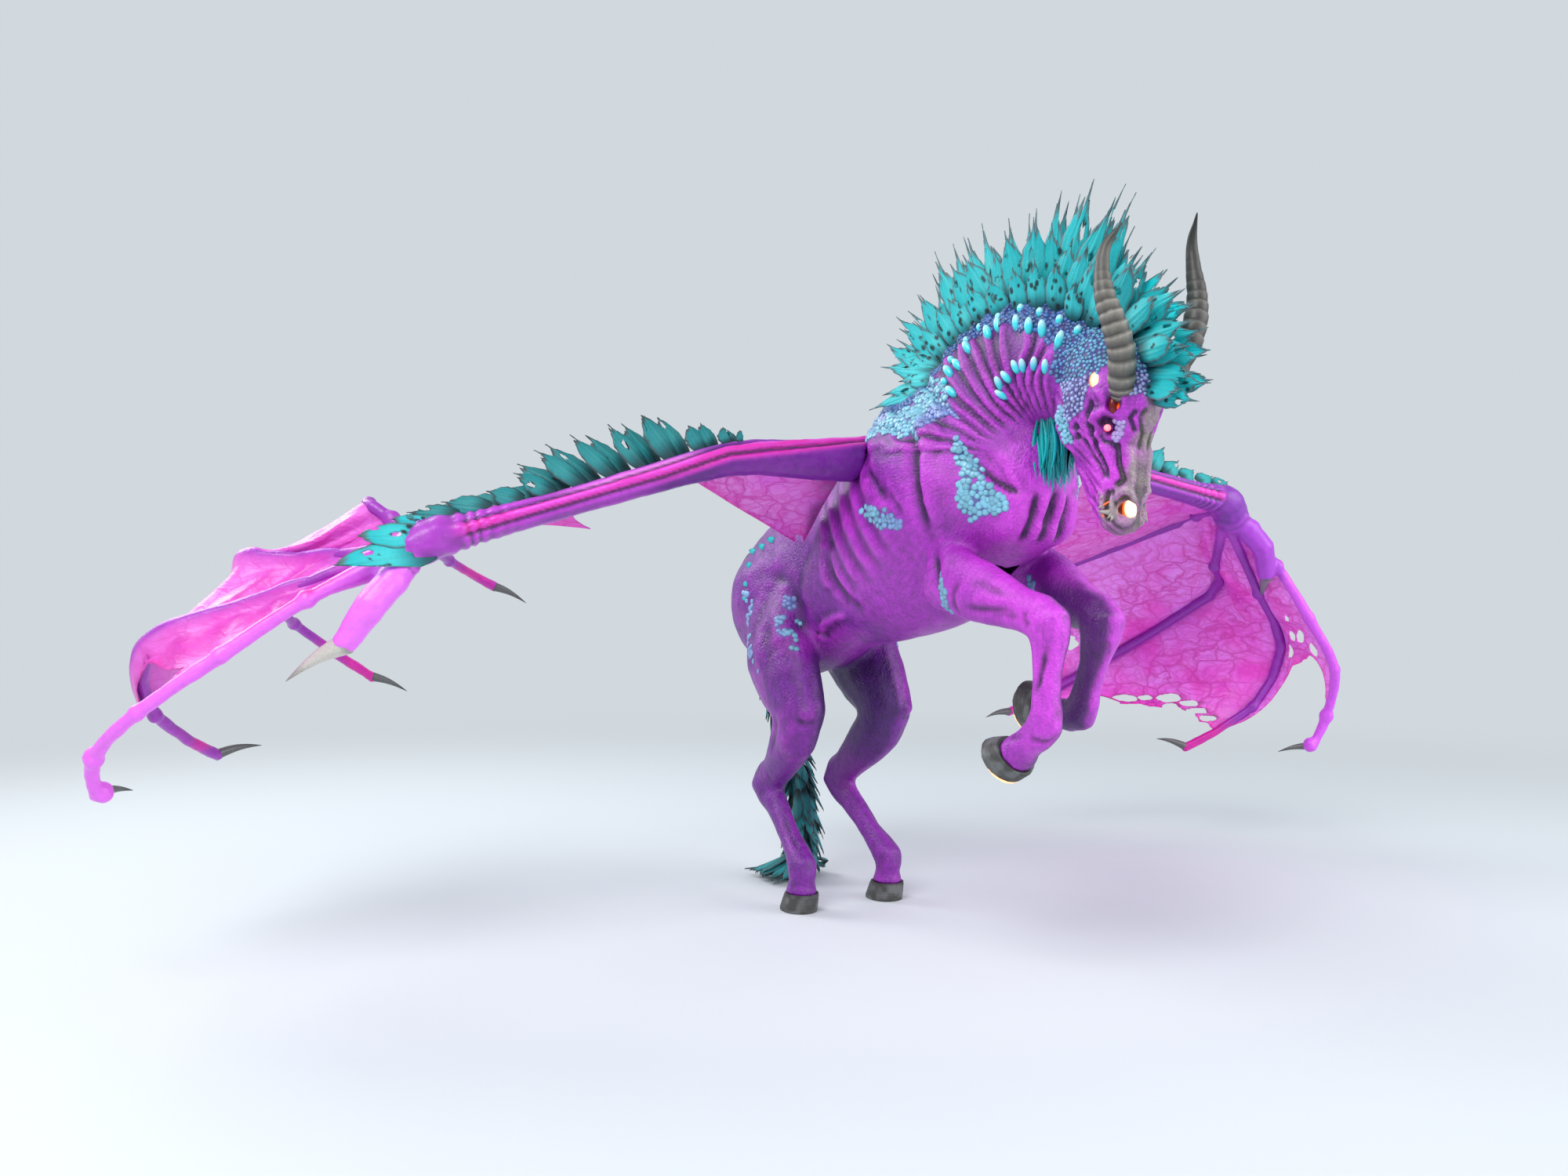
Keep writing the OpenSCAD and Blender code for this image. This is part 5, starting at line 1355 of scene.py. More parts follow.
# Root and tip of each leaf that grows out of the wrist, from the wrist's middle, and its width
WRIST_LEAVES = (((5, -1, -4), (11, 36, -10), 13), ((4, -1, 2), (6, 27, 1), 10), ((2, -5, 5), (1, 14, 8), 6))


def arm_leaf(s, k):
    t = -0.12 + 1.08 * k / (ARM_LEAVES - 1)
    ahead = unit(on_arm(s, min(t + 0.05, 1)) - on_arm(s, min(t + 0.05, 1) - 0.1))
    size = np.interp(k, [0, 2, 4, 6, 10, 13, 15, 17, 21], [5, 8, 13, 25, 27, 23, 14, 17, 20])
    rise = np.interp(t, [-0.12, 0.2, 0.5, 0.75, 1], [2.6, 1.7, 1.0, 0.45, 0.3])
    thick = np.interp(t, [-0.12, 0.5, 1], [8.6, 6.6, 8.0])
    way = ahead + np.array((-0.25 + 0.12 * (-1) ** k, 0, rise))
    root = on_arm(s, t) + np.array((1.5 - 3 * (k % 2), 0, thick - 1.5))
    facing = (1, -0.35 * ahead[1], 0.3)
    width = np.interp(k, [0, 2, 4, 6, 9, 21], [7, 9, 11, 13, 10, 9])
    long = size * rng.uniform(0.9, 1.12)
    blunt = np.interp(k, [0, 4, 8], [0.93, 0.88, 0.78])
    points, faces, colours = leaf(rng, root, way, facing, long, width, bend=0.10, holes=k % 3 == 2,
                                  spots=k % 4 == 1, blunt=blunt)
    return points, faces, colours * ARM_TONE[s]


for s in (-1, 1):
    side = SIDE_NAME[s]
    row = [arm_leaf(s, k) for k in range(ARM_LEAVES)]
    wrist = on_hand(s, (0, 0, 0), False)
    flip = np.array((1, s, 1)) if s < 0 else np.array((-0.8, s * 0.55, 1))
    for start, end, width in WRIST_LEAVES:
        root, tip = wrist + np.array(start) * flip, wrist + np.array(end) * flip
        long = np.linalg.norm(tip - root)
        wide = width * (1 if s < 0 else 0.5)
        row.append(leaf(rng, root, tip - root, (1, 0.2 * s, 0.35), long, wide, spikes=2, bend=0.04, holes=2,
                        spots=5, cup=0.12, blunt=0.93))
    low, high = box_of(f"wing_leaves_{side}")
    clipped = [(np.clip(p, low - (9, 3, 1), high + (3, 3, 1)), f, c) for p, f, c in row]
    leaves(f"wing_leaves_{side}_detail", f"{side}_wing", clipped, f"wing_leaves_{side}")


# ---- Beads, scales and pebbled skin -----------------------------------------------------------

bead_paint = Shade("bead", 0.28, Coat_Weight=0.4, Coat_Roughness=0.15)
bead_paint.finish(bead_paint.stored())
UPPER_BEADS = [(117, -22, 225), (113, -20, 233), (118, -19, 236), (122, -17, 242), (131, -16, 245),
               (135, -14, 248), (145, -14, 247), (152, -14, 244), (159, -13, 242), (166, -12, 237)]
LOWER_BEADS = [(140, -17, 221), (140, -18, 225), (144, -17, 227), (148, -17, 230), (151, -16, 230),
               (156, -15, 230), (161, -14, 228)]
CREST_BEADS = [(110, -20, 230), (112, -17, 238), (117, -14, 244), (124, -12, 249), (134, -11, 251),
               (145, -9, 252), (155, -9, 249), (163, -9, 245), (171, -8, 240)]


def bead(place, normal, length, width):
    """A pale-tipped bead that lies on the skin and points away from the throat."""
    fan = unit(np.array((place[0] - FAN_X, 0, place[2] - FAN_Z)))
    axis = unit(fan - normal * (fan @ normal) + 0.4 * normal)
    across = unit(np.cross(axis, normal))
    turn = np.stack([axis, across, np.cross(axis, across)], axis=1)
    points, faces = ellipsoid(place + normal * 0.35 + axis * 0.5, (length, width, width), turn, sides=18)
    along = (points - place) @ axis
    colour = coat(linear(0.25, 0.86, 0.90), len(points))
    colour = blended(colour, linear(0.72, 0.90, 0.92), step(along, 0.2, length))
    return points, faces, blended(colour, linear(0.05, 0.45, 0.52), 0.8 * step(-along, 0.3, length))


beads = []
for places, length, width in ((UPPER_BEADS, 3.6, 1.6), (LOWER_BEADS, 3.0, 1.35), (CREST_BEADS, 2.0, 1.4)):
    for x, y, z in places:
        beads += [bead(*on_skin((x, -s * y, z)), length, width) for s in (-1, 1)]
join("neck_beads", beads, bead_paint.material, "root", "bead", ["crest_beads"])


def inside(x, z, outline):
    """Whether each (x, z) lies inside a closed outline."""
    out = np.zeros(len(x), bool)
    ring = list(outline)
    for (x0, z0), (x1, z1) in zip(ring, ring[1:] + ring[:1]):
        crosses = (z0 > z) != (z1 > z)
        out ^= crosses & (x < (x1 - x0) * (z - z0) / (z1 - z0 + 1e-9) + x0)
    return out


def scatter(candidates, gap, rng):
    """Candidates in a random order, leaving out any too close to one already taken."""
    around = list(np.ndindex(3, 3, 3))
    grid, taken = {}, []
    for i in rng.permutation(candidates):
        p = skin.points[i]
        cell = tuple(np.floor(p / gap).astype(int))
        near = [grid.get((cell[0] + a - 1, cell[1] + b - 1, cell[2] + c - 1)) for a, b, c in around]
        if all(j is None or np.linalg.norm(skin.points[j] - p) >= gap * 0.8 for j in near):
            grid[cell] = i
            taken.append(i)
    return np.array(taken)


DOME_SIDES = 8
SCALES_LEAN = np.array((-1.0, 0, -0.35))


def dome():
    """Points and faces of a low round scale, 1 in radius and 1 high."""
    lon = np.arange(DOME_SIDES) * 2 * math.pi / DOME_SIDES
    rings = (1.0, -0.25), (0.9, 0.45), (0.55, 0.85)
    points = [[(r * math.cos(a), r * math.sin(a), h) for a in lon] for r, h in rings]
    n = DOME_SIDES
    faces = band_faces(3, n)
    faces += [(2 * n + k, 2 * n + (k + 1) % n, 3 * n) for k in range(n)]
    return np.vstack([*points, [(0, 0, 1)]]), faces


def domes(name, chosen, radius, height, colour_of, stretch=1.0, tilt=0.0):
    """Low round scales sitting on the skin at the chosen vertices. Those of the head are smaller."""
    rng = np.random.default_rng(11)
    shape, faces = dome()
    rise = np.clip(shape[:, 2:], 0, 1)
    parts = []
    for i in chosen:
        n = skin.normals[i]
        back = unit(SCALES_LEAN - n * (SCALES_LEAN @ n))
        across = np.cross(n, back)
        r = radius * rng.uniform(0.82, 1.15) * (0.72 if skin.points[i, 0] > HEAD_FROM_X else 1)
        p = shape * (r * stretch, r, height * rng.uniform(0.8, 1.2))
        p = skin.points[i] + p[:, :1] * back + p[:, 1:2] * across + (p[:, 2:] + tilt * p[:, :1]) * n
        tone = np.array(colour_of(i, rng))
        # Each scale is painted darker at its edge and lighter on top: painted shade between the scales and a
        # painted highlight
        parts.append((p, faces, tone * (0.55 + 0.45 * rise) + 0.05 * rise ** 3))
    join(name, parts, scale_paint.material, "root", "bead")


scale_paint = Shade("scales", 0.36, Coat_Weight=0.3, Coat_Roughness=0.25)
scale_paint.bump(scale_paint.noise(0.8, 3), 0.12, 0.4)
scale_paint.finish(scale_paint.stored())

SP = skin.points
HEAD_FROM_X, MUZZLE_FROM_X, LOIN_TO_X = 165, 186, 15
side_normal = np.abs(skin.normals[:, 1])
crest_gap, crest_share = distance_to(SP * (1, 0, 1), CREST)
band = np.interp(crest_share, [0, 0.08, 0.45, 0.6, 0.8, 1], [5, 7, 8, 13, 8, 3])
ragged = 2.2 * noise(SP, 7, 70, 2)
crest_zone = (crest_gap < band + ragged) & (SP[:, 2] > 214)
BROW_PATCH = [(166, 243), (184, 236), (189, 226), (185, 222), (180, 215), (178, 209), (171, 206),
              (170, 211), (166, 218), (163, 228)]
brow_zone = inside(SP[:, 0] + ragged, SP[:, 2] + ragged, BROW_PATCH)
poll_zone = crest_zone | (brow_zone & (np.abs(SP[:, 1]) > 4))


def between(a, b, share):
    """A colour between two, given as display values."""
    return np.array(linear(*a)) * (1 - share) + np.array(linear(*b)) * share


def poll_colour(i, rng):
    """Deep blue on the crest, paler towards the brow, and lilac low on the brow."""
    x, z = SP[i, 0], SP[i, 2]
    pale = step(np.array(x - 0.35 * (z - 235)), 160, 178)
    tone = between((0.20, 0.38, 0.66), (0.38, 0.66, 0.82), pale)
    if z < 222:
        tone = np.array(linear(0.62, 0.66, 0.88))
    return tone * rng.uniform(0.55, 1.15)


poll_scales = scatter(np.flatnonzero(poll_zone), 1.7, np.random.default_rng(3))
domes("crest_pebbles", poll_scales, 1.12, 0.55, poll_colour)

# Outlines of the scaled patches in X and Z: chest, withers, neck, ribs, forearm, eye, cheek, flank, haunch
PATCHES = [
    [(124, 207), (128, 194), (130, 182), (131, 174), (141, 176), (143, 182), (139, 187), (133, 197),
     (126, 205)],
    [(50, 218), (64, 222), (75, 224), (89, 223), (101, 222), (103, 209), (92, 210), (86, 212), (76, 213),
     (64, 212), (54, 211)],
    [(88, 236), (96, 236), (111, 229), (122, 214), (112, 216), (108, 212), (101, 214), (92, 221)],
    [(66, 185), (80, 183), (87, 182), (96, 176), (85, 173), (78, 176), (68, 181)],
    [(119, 155), (124, 151), (124, 138), (119, 142)],
    [(189.5, 205.5), (194, 205.5), (194.6, 200), (191, 196.5), (189.5, 200)],
    [(165.5, 214), (169.5, 213), (171, 205), (172.5, 199), (168.5, 201), (166, 207)],
    [(-10, 148), (-3, 146), (-3, 138), (2, 133), (7, 122), (3, 121), (-3, 129), (-8, 137)],
    [(-41, 148), (-33, 148), (-34, 132), (-26, 122), (-14, 110), (-20, 110), (-31, 120), (-40, 131)]]
patch_zone = np.zeros(len(SP), bool)
for outline in PATCHES:
    patch_zone |= inside(SP[:, 0] + 0.9 * ragged, SP[:, 2] - 0.9 * ragged, outline)
patch_zone &= (side_normal > 0.3) & (crest_gap > 4)
patch_zone &= (SP[:, 0] > LOIN_TO_X) | (np.abs(SP[:, 1]) > 22)
patch_zone &= (SP[:, 0] < MUZZLE_FROM_X) | (np.abs(SP[:, 1]) > 7.4)
sparse = noise(SP, 5, 71) + 0.5 * noise(SP, 2.4, 72) > np.where(SP[:, 0] < LOIN_TO_X, 0.15, -0.55)
dice = np.random.default_rng(4)
on_head = SP[:, 0] > HEAD_FROM_X
trunk_scales = scatter(np.flatnonzero(patch_zone & sparse & ~on_head), 2.1, dice)
head_scales = scatter(np.flatnonzero(patch_zone & on_head), 1.5, dice)


def patch_colour(i, rng):
    """Blue-grey of two kinds, and lilac on the muzzle."""
    if SP[i, 0] > MUZZLE_FROM_X:
        return np.array(linear(0.68, 0.58, 0.84)) * rng.uniform(0.85, 1.05)
    mixed = step(noise(SP[i:i + 1], 12, 73), -0.4, 0.6)[0]
    return between((0.46, 0.74, 0.84), (0.45, 0.54, 0.80), mixed) * rng.uniform(0.75, 1.1)


patch_scales = np.concatenate([trunk_scales, head_scales])
domes("scale_patches", patch_scales, 1.42, 0.42, patch_colour, stretch=1.1, tilt=0.14)
under = relax(np.stack([poll_zone, patch_zone & sparse], axis=1).astype(float), skin.edges, 2, 0.5)
hide = blended(hide, linear(0.20, 0.24, 0.52), 0.9 * under[:, 0])
hide = blended(hide, linear(0.30, 0.42, 0.66), 0.85 * under[:, 1])
paint(body_mesh, hide)

CROUP = [(-24, -23, 174), (-32, -24, 171), (-42, -24, 169), (-39, -28, 162), (-38, -30, 153),
         (-39, -31, 146)]
croup_leaves = []
for i, (x, y, z) in enumerate(CROUP):
    for s in (-1, 1):
        place, normal = on_skin((x, -s * y, z))
        way = normal + np.array((-0.9, 0, 0.1))
        croup_leaves.append(leaf(rng, place - normal, way, (0, s, 0.4), 5.5 - 0.4 * i, 3.2, spikes=2, holes=0,
                                 spots=0, blunt=0.85))
leaves("croup_spikes", "root", croup_leaves)


# ---- Horns, hooves, claws and teeth -----------------------------------------------------------

# The horns' middle line as forward, outward and upward shares of their length, then shares of HORN_RADIUS
HORN_SHAPE = [(-0.035, -0.035, -0.075, 0.75), (0, 0, 0, 1), (0.08, 0.08, 0.18, 1.04),
              (0.09, 0.15, 0.34, 0.95), (0.06, 0.19, 0.5, 0.78), (0.03, 0.18, 0.66, 0.58),
              (0.03, 0.15, 0.8, 0.4), (0.1, 0.09, 0.93, 0.06)]
HORN_RADIUS, HORN_SIDES, RIDGES = 4.5, 28, 18
TENON_WAY = (4, 4, 9)
horn_paint = grained("horn", 0.5, 0.1, (1.2, 4, 0.6, (1, 1, 0.25)), bump=(0.25, 0.6), tone=(0.5, 0.3, 0.68))


def horn(s, long, splay, tone):
    """A ringed horn on its tenon; splay turns its tip outwards."""
    side = SIDE_NAME[s]
    tenon = np.mean(box_of(f"horn_tenon_{side}"), axis=0)
    root = tenon + unit(np.array(TENON_WAY) * (1, s, 1))
    rows = [(*(root + long * np.array((f, s * (o + splay * h * h), h))), w * HORN_RADIUS, w * HORN_RADIUS)
            for f, o, h, w in HORN_SHAPE]
    rows = curve_points(rows, 30)
    t = np.linspace(0, 1, len(rows))
    phase = (t ** 1.12 * RIDGES) % 1
    ridge = np.where(phase < 0.75, phase / 0.75, (1 - phase) / 0.25)
    fade = 1 - step(t, 0.45, 0.85)
    rows[:, 3:] *= (1 + 0.10 * (ridge - 0.5) * fade)[:, None]
    points, faces = tube(rows, sides=HORN_SIDES, steps=1, side=(0, 1, 0))
    share = np.r_[np.repeat(t, HORN_SIDES), 0, 1]
    ridge_at = np.r_[np.repeat(ridge * fade, HORN_SIDES), 0, 0]
    middle = np.r_[np.repeat(rows[:, :3], HORN_SIDES, axis=0), rows[:1, :3], rows[-1:, :3]]
    points = points + 0.12 * noise(points, 3, 80)[:, None] * unit(points - middle)
    colour = coat(linear(0.31, 0.30, 0.28), len(points))
    # Painted highlight on the ridges and painted shade in the grooves between them
    colour = blended(colour, linear(0.62, 0.60, 0.56), 0.8 * ridge_at ** 2)
    groove = step(-ridge_at, -0.25, 0.0) * (1 - step(share, 0.4, 0.8))
    colour = blended(colour, linear(0.20, 0.18, 0.17), 0.7 * groove)
    colour = blended(colour, linear(0.13, 0.12, 0.12), 0.85 * step(share, 0.8, 1.0))
    parts = [(points, faces, colour * tone)]
    join(f"horn_{side}_ridged", parts, horn_paint, f"{side}_horn", "horn_grey", [f"horn_{side}"])


# The left horn, on the far side, is painted darker: painted shade
horn(-1, 57, 0, 1.0)
horn(1, 66, 0.1, 0.42)

hoof_paint = grained("hoof", 0.55, 0.0, (1.0, 4, 0.6, (1, 1, 0.3)), bump=(0.25, 0.6), tone=(0.5, 0.32, 0.66))
glow = Shade("sole_glow", 0.5)
glow.finish(linear(1.0, 0.75, 0.5), Emission_Color=(1.0, 0.42, 0.16, 1), Emission_Strength=1.6)
SOLE_FROM = 0.86


def hoof(name, s, is_fore):
    """A hoof with growth rings. A forehoof's raised sole glows; depth is 0 at its top and 1 at its sole."""
    mesh = fused(f"{name}_skin", [name], [], 0.5, 0.0)
    form = Sculpture(mesh)
    form.smooth(5, 0.4)
    p = form.points
    low, high = p.min(axis=0), p.max(axis=0)
    if is_fore:
        knee = np.array((150, s * 14, 122))
        centre = p.mean(axis=0)
        _, _, axes = np.linalg.svd(p - centre)
        away = axes[2] if axes[2] @ (centre - knee) > 0 else -axes[2]
        down = (p - centre) @ away
        depth = (down - down.min()) / (down.max() - down.min())
    else:
        depth = 1 - (p[:, 2] - low[2]) / (high[2] - low[2])
    form.raise_by(0.12 * np.sin(depth * 40) * step(depth, 0.05, 0.2) * step(-depth, -0.95, -0.8))
    form.points[:, 2] = np.clip(form.points[:, 2], low[2], high[2])
    form.settle()
    patches = step(noise(p, 3, 81), -0.3, 0.6)
    colour = blended(coat(linear(0.25, 0.25, 0.24), len(p)), linear(0.40, 0.41, 0.41), patches)
    paint(mesh, blended(colour, linear(0.12, 0.11, 0.12), 0.7 * step(-depth, -0.16, -0.02)))
    dress(f"{name}_skin", mesh, "root", "hoof_grey", [name], hoof_paint, glow.material)
    if is_fore:
        middles = depth[np.array([list(f.vertices)[:3] for f in mesh.polygons])].mean(axis=1)
        for f, d in zip(mesh.polygons, middles):
            f.material_index = int(d > SOLE_FROM)


for s in (-1, 1):
    hoof(f"hind_hoof_{SIDE_NAME[s]}", s, False)
    hoof(f"fore_hoof_{SIDE_NAME[s]}", s, True)

# Claws: curved, ringed at the root and pointed, from the ends of the fingers and thumbs
claw_paint = grained("claw", 0.35, 0.3, (0.9, 4, 0.6, (0.3, 1, 1)), bump=(0.15, 0.5), tone=(0.4, 0.3, 0.66))


def claw(start, end, radius, sag, tone):
    """A tapered claw from start to end with its middle pushed aside by sag."""
    sides = 14
    start, end = np.asarray(start, float), np.asarray(end, float)
    t = np.linspace(0, 1, 24)[:, None]
    centre = start + (end - start) * t + np.asarray(sag) * np.sin(math.pi * t)
    r = radius * (1 - 0.96 * t ** 1.25)
    points, faces = tube(np.hstack([centre, r, r * 0.85]), sides=sides, steps=1, side=(0, 0.2, 1))
    share = np.r_[np.repeat(t[:, 0], sides), 0, 1]
    colour = blended(coat(tone, len(points)), np.array(tone) * 0.35, 0.8 * step(share, 0.55, 1.0))
    return points, faces, blended(colour, np.array(tone) * 0.45, 0.7 * step(-share, -0.1, 0.0))


CLAW_WAYS = [(-12, -12, 0), (-3, -16, 3), (0, -16, -7), (0, -16, -8)]
THUMB_CLAW = (-19, 18, -14)
CLAW_LONG, THUMB_CLAW_LONG = 17.6, 27.6
GREY_CLAW = linear(0.36, 0.37, 0.36)
PALE_CLAW = linear(0.80, 0.78, 0.74)
GREEN_CLAW = linear(0.45, 0.52, 0.50)
for s in (-1, 1):
    side = SIDE_NAME[s]
    made = []
    for finger, way in zip(FINGERS, CLAW_WAYS):
        end = np.array(finger[-1], float)
        back = unit(end - np.array(finger[-2], float))
        start, tip = on_hand(s, end - 2.0 * back), on_hand(s, end + CLAW_LONG * unit(way))
        made.append(claw(start, tip, 2.3, (0, 0, 1.1), GREY_CLAW))
    end, way = np.array(THUMB[-1], float), unit(THUMB_CLAW)
    start, tip = on_hand(s, end - 2.5 * way, False), on_hand(s, end + THUMB_CLAW_LONG * way, False)
    made.append(claw(start, tip, 4.1, (0, 0, 1.6), PALE_CLAW if s < 0 else GREEN_CLAW))
    join(f"claws_{side}_curved", made, claw_paint, f"{side}_wing", "claw_grey", [f"claws_{side}"])

# Fangs along the jaw, the largest at the back: X, Z, length, radius, and the way each points forward and up
FANGS = [(184.2, 174.6, 5.4, 1.05, (-1.0, 0.12)), (185.0, 172.9, 2.4, 0.65, (-0.7, -0.6)),
         (186.2, 171.6, 2.2, 0.6, (-0.4, -0.9)), (187.8, 170.8, 1.9, 0.55, (0.0, -1.0)),
         (183.8, 177.0, 2.0, 0.5, (-0.8, -0.4)), (182.6, 179.6, 1.8, 0.45, (-0.6, -0.7)),
         (180.6, 182.2, 1.6, 0.42, (-0.4, -0.9))]
made = []
for x, z, long, r, (forward, up) in FANGS:
    for s in (-1, 1):
        place, normal = on_skin((x, s * 12, z))
        start = place - 0.4 * normal
        tip = start + long * unit((forward, 0.25 * s, up))
        made.append(claw(start, tip, r, (0.25, 0.2 * s, 0), linear(0.66, 0.63, 0.60)))
join("fangs", made, claw_paint, "root", "ivory", ["teeth"])


# ---- Glowing eyes, orbs and mouth -------------------------------------------------------------

def glowing(name, core, rim, strength):
    """A hot material, core at its middle and rim where the mesh says so."""
    shade = Shade(name, 0.25)
    tint = shade.mix(shade.stored("rim", "Fac"), core, rim)
    shade.finish(tint, Emission_Color=tint, Emission_Strength=strength)
    return shade.material


HOT, ORANGE = linear(1.0, 0.86, 0.62), linear(1.0, 0.38, 0.08)
DARK_RED, PALE_FIRE = linear(0.30, 0.03, 0.02), linear(1.0, 0.90, 0.72)
PINK_EYE, RED_EYE = linear(1.0, 0.55, 0.60), linear(0.75, 0.10, 0.16)
OUT_OF_FACE = (0.82, 0.57, 0.05)


def orbs(node, label, core, rim, strength, radii, slot="glowing_orb", inward=0.2, back=0.0, hot_rim=None):
    """Two hot balls in place of a CAD node's, with radii as shares of half its height.

    They sit inward of its outline, and the left one further back. hot_rim puts the rim's colour on a spot."""
    low, high = box_of(node)
    r = (high[2] - low[2]) / 2
    made, rims = [], []
    for s in (-1, 1):
        x = (low[0] + high[0]) / 2 - (back if s > 0 else 0)
        centre = np.array((x, s * (high[1] - r - inward), (low[2] + high[2]) / 2))
        points, faces = ellipsoid(centre, np.array(radii) * r, sides=32)
        toward = unit(points - centre) @ unit(np.array(hot_rim or OUT_OF_FACE) * (1, s, 1))
        rims.append(step(toward, 0.80, 0.92) if hot_rim else step(-toward, -0.62, -0.30))
        made.append((points, faces))
    orb = make(node + "_hot", *merge(made), glowing(label, core, rim, strength), "root", slot, [node])
    store(orb.data, "rim", np.concatenate(rims))


orbs("brow_orbs", "glow_brow", HOT, ORANGE, 1.1, (1.1, 1.05, 1.5))
orbs("slit_orbs", "glow_slit", DARK_RED, ORANGE, 1.0, (0.6, 0.85, 1.4), hot_rim=(0.8, -0.41, -0.4))
orbs("nostril_orbs", "glow_nostril", PALE_FIRE, ORANGE, 0.95, (0.78, 0.62, 1.42), inward=1.9, back=1.8)
orbs("eyes", "glow_eye", PINK_EYE, RED_EYE, 0.8, (0.66, 0.7, 0.66), slot="eye")

ember_glow = Shade("ember", 0.5)
ember_glow.finish(ORANGE, Emission_Color=(*ORANGE, 1), Emission_Strength=1.2)
EMBER_RADIUS = 0.26
embers = []
for s in (-1, 1):
    for path in ([(184.6, 9, 178.6), (184.2, 9, 177.4)], [(183.6, 9, 174.4), (183.8, 9, 173.4)]):
        seated = []
        for x, y, z in path:
            place, normal = on_skin((x, s * y, z))
            seated.append((*(place + 0.05 * normal), EMBER_RADIUS, EMBER_RADIUS))
        embers.append(tube(seated, sides=8, steps=6))
make("embers", *merge(embers), ember_glow.material, "root", "glowing_orb")


# ---- Beard and tail ---------------------------------------------------------------------------

hair_paint = grained("hair", 0.5, 0.1, (0.7, 4, 0.7), bump=(0.2, 0.6), tone=(0.5, 0.3, 0.7))


def strand(rng, root, tip, width, side, curl, tone):
    """A flat tapering lock of hair from root to tip, as points, faces and colours."""
    sides = 6
    root, tip = np.asarray(root, float), np.asarray(tip, float)
    long = np.linalg.norm(tip - root)
    t = np.linspace(0, 1, 10)[:, None]
    bow = np.cross(unit(tip - root), unit(side)) * curl * long * rng.uniform(-1, 1)
    stray = 0.5 * curl * rng.uniform(-1, 1, 3) * t ** 2 * long
    centre = root + (tip - root) * t + bow * np.sin(math.pi * t) + stray
    w = width * (1 - 0.92 * t ** 2.2) * (0.7 + 0.3 * np.sin(math.pi * t))
    points, faces = tube(np.hstack([centre, w, w * 0.35]), sides=sides, steps=1, side=side)
    share = np.r_[np.repeat(t[:, 0], sides), 0, 1]
    dark = rng.uniform(0.45, 1.1)
    colour = coat(np.array(tone) * dark, len(points))
    return points, faces, blended(colour, DEEP_TEAL, 0.6 * step(-share, -0.4, 0.0))


beard_low, beard_high = box_of("beard")
BEARD_TONE = linear(0.0, 0.70, 0.72)
locks = []
for k in range(170):
    x = rng.uniform(beard_low[0] - 3, beard_high[0] - 2.5)
    y = rng.uniform(-1, 0.55) * (beard_high[1] - 1.5)
    hit = shot((x, y, 199), (0, 0, 1))
    if hit is None or hit[2] < 203.5:
        continue
    top = min(hit[2] + 1.5, beard_high[2])
    drop = rng.uniform(0.45, 1.0) * (top - beard_low[2] - 5)
    tip = np.clip((x + rng.uniform(-3, 3), y * 1.05, top - drop), beard_low - (3, 0, 0), beard_high)
    locks.append(strand(rng, (x, y, top), tip, rng.uniform(0.7, 1.35), (0, 1, 0), 0.16, BEARD_TONE))
locks = [(np.clip(p, beard_low - (3.5, 0.5, 0.4), beard_high + 0.4), f, c) for p, f, c in locks]
join("beard_hair", locks, hair_paint, "root", "dark_teal", ["beard"])

# The tail: a purple dock that turns into a thick plume of narrow feathers, spread on the floor
TAIL = curve_points([(-82, 0, 154), (-93, 2, 146), (-95, 3, 138), (-90, 5, 122), (-82, 6, 108),
                     (-70, 8, 86), (-62, 9, 66), (-56, 10, 44), (-54, 10, 26), (-55, 9, 12)], 6)
plume_low, plume_high = box_of("tail_plume")
core = fused("tail_core_skin", ["tail_core"], [], 0.8, 0.1)
dock = Sculpture(core)
dock.smooth(8, 0.4)
down = dock.points[:, 2]
ribs = 0.3 * np.sin(down * 1.2 + noise(dock.points, 6, 90)) * step(down, 90, 110)
dock.raise_by(ribs + 0.25 * noise(dock.points, 3, 91))
dock.points[:, 2] = np.maximum(dock.points[:, 2], 0.05)
dock.settle()
colour = blended(coat(PURPLE, len(down)), ORCHID, 0.5 * step(noise(dock.points, 7, 92), 0, 0.8))
paint(core, blended(colour, DEEP_TEAL, step(-down, -112, -96)))
dress("tail_dock", core, "root", "purple", ["tail_core"], hide_paint.material)

PLUME_FEATHERS = 230
feathers = []
for k in range(PLUME_FEATHERS):
    t = 0.32 + 0.66 * (k / PLUME_FEATHERS) ** 0.9
    place = along_line(TAIL, t)
    turn = rng.uniform(0, 2 * math.pi)
    out = np.array((math.cos(turn), math.sin(turn), 0))
    thick = np.interp(t, [0.32, 0.5, 0.9], [3.5, 7.5, 8.5])
    root = place + out * (thick - 3.0)
    ahead = along_line(TAIL, min(t + 0.06, 1)) - place
    way = unit(ahead + np.array((0, 0, -1.0))) + 0.42 * out
    tip = root + unit(way) * rng.uniform(11, 19)
    tip[2] = max(tip[2], 1.0)
    long = np.linalg.norm(tip - root)
    feathers.append(leaf(rng, root, tip - root, out, long, rng.uniform(3.6, 5.4), spikes=2, bend=0.04,
                         holes=0, spots=0, cup=0.3, blunt=0.82))
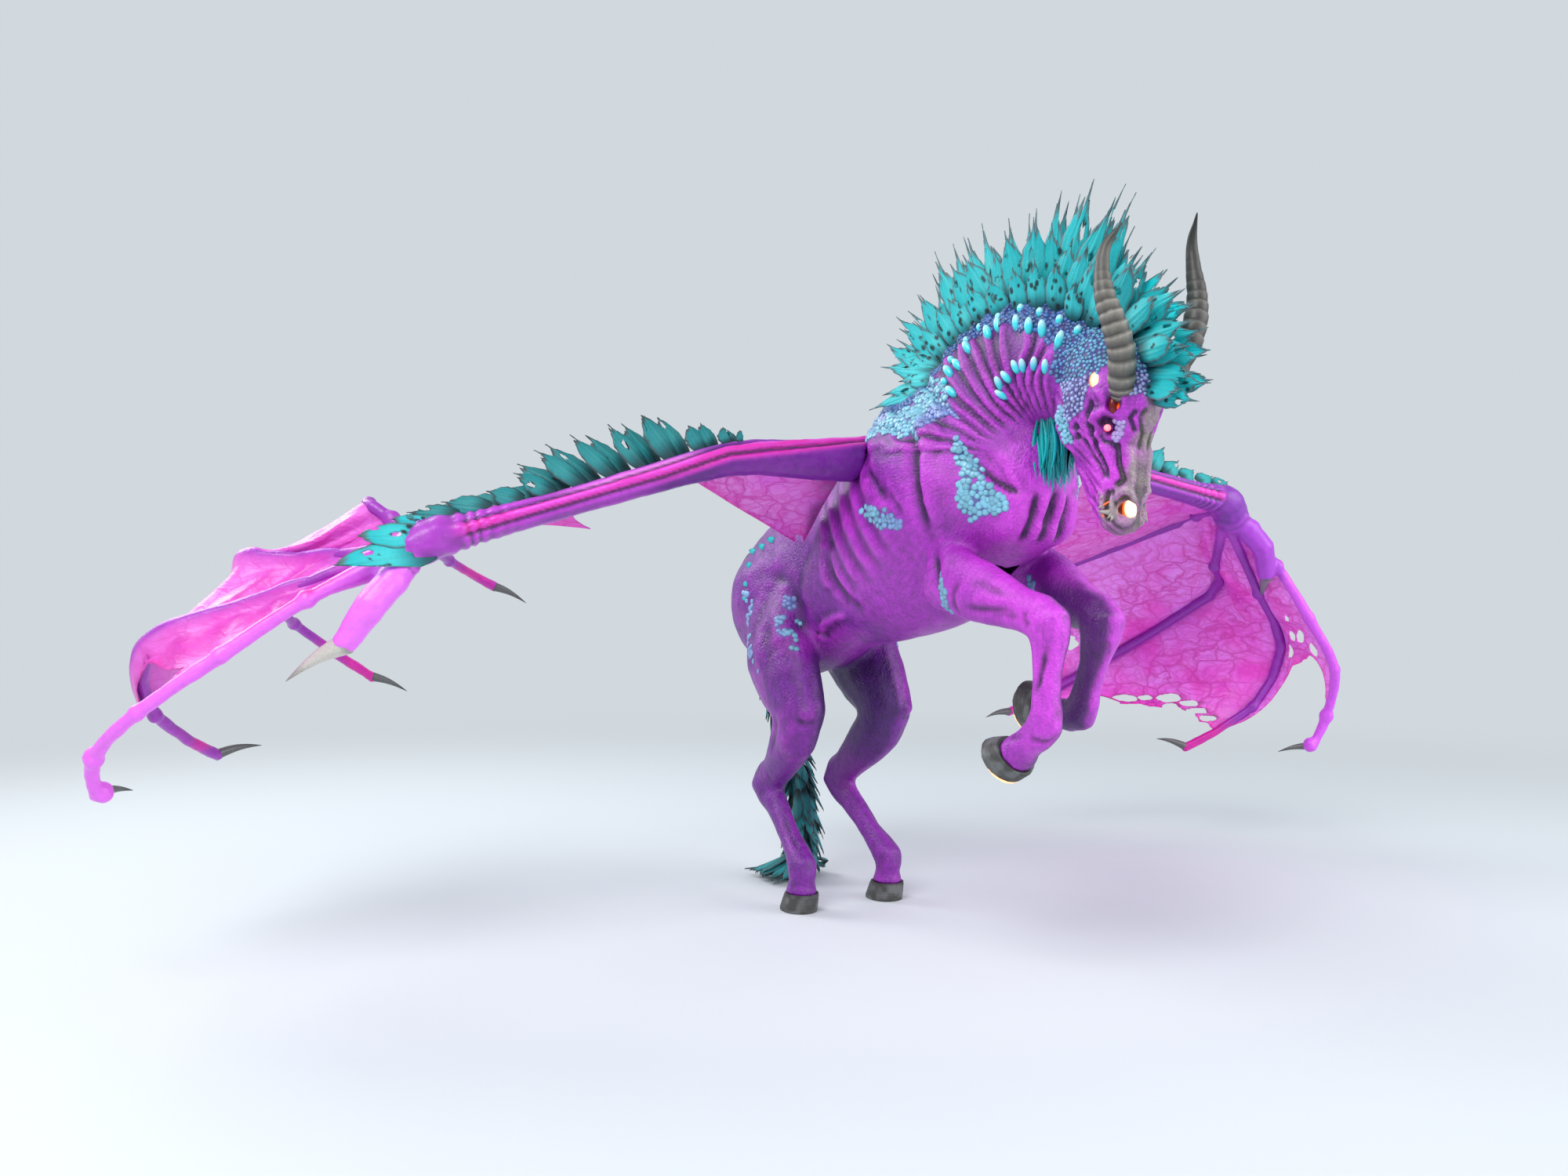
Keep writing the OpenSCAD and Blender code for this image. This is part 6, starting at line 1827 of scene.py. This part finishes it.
# The last feathers lie spread on the floor
for k in range(46):
    turn = math.radians(rng.uniform(95, 330))
    out = np.array((math.cos(turn), math.sin(turn), 0))
    root = np.array((-56, 9, 13 + 4 * rng.uniform(-1, 1)))
    tip = root + out * rng.uniform(20, 33)
    tip[2] = rng.uniform(0.8, 2.5)
    feathers.append(leaf(rng, root, tip - root, (0, 0, 1) + 0.2 * out, np.linalg.norm(tip - root),
                         rng.uniform(5, 7.5), spikes=3, bend=-0.05, holes=0, spots=0, cup=0.2, blunt=0.8))
low = np.array((plume_low[0], plume_low[1], 0.4))
PLUME_TONE = np.array((0.6, 0.52, 0.52))
feathers = [(np.clip(p, low, plume_high), f, c * PLUME_TONE * rng.uniform(0.55, 1.1))
            for p, f, c in feathers]
leaves("tail_feathers", "root", feathers, "tail_plume", slot="dark_teal")


# ---- Hidden pieces that keep their CAD form ---------------------------------------------------

wood = Shade("bare_wood", 0.7)
rings = wood.add("ShaderNodeTexWave", Vector=wood.place, Scale=380, Distortion=6, Detail=3).outputs["Fac"]
wood.bump(rings, 0.1, 0.4)
wood.finish(wood.ramp(rings, (0.2, linear(0.62, 0.46, 0.28)), (0.8, linear(0.80, 0.66, 0.45))))
iron = Shade("iron", 0.5, Metallic=1.0)
iron.finish(iron.ramp(iron.noise(3, 4), (0.3, 0.12), (0.7, 0.3)))
for name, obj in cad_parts.items():
    if "dowel" in name or "tenon" in name or name == "ballast":
        obj.data.materials.clear()
        obj.data.materials.append(iron.material if name == "ballast" else wood.material)


# ---- Floor ------------------------------------------------------------------------------------

floor_shade = Shade("floor", 0.7)
floor_shade.finish((0.66, 0.70, 0.73))
from_middle = floor_shade.add("ShaderNodeVectorMath", {"operation": "LENGTH"})
floor_shade.wire(floor_shade.place, from_middle.inputs[0])
fade = floor_shade.add("ShaderNodeMapRange", {"interpolation_type": "SMOOTHSTEP"},
                       Value=from_middle.outputs["Value"], From_Min=0.28, From_Max=1.1, To_Min=0, To_Max=1)
camera_ray = floor_shade.add("ShaderNodeLightPath").outputs["Is Camera Ray"]
backdrop = floor_shade.add("ShaderNodeEmission", Strength=1.0, Color=WALL_COLOUR)
blend = floor_shade.add("ShaderNodeMixShader")
floor_shade.wire(floor_shade.maths("MULTIPLY", fade.outputs[0], camera_ray), blend.inputs[0])
floor_shade.wire(floor_shade.surface.outputs[0], blend.inputs[1])
floor_shade.wire(backdrop.outputs[0], blend.inputs[2])
floor_shade.wire(blend.outputs[0], floor_shade.tree.nodes["Material Output"].inputs[0])
FLOOR_HALF = 4000
floor_corners = [(x * FLOOR_HALF, y * FLOOR_HALF, 0) for x, y in ((-1, -1), (1, -1), (1, 1), (-1, 1))]
make("floor", floor_corners, [(0, 1, 2, 3)], floor_shade.material, None)
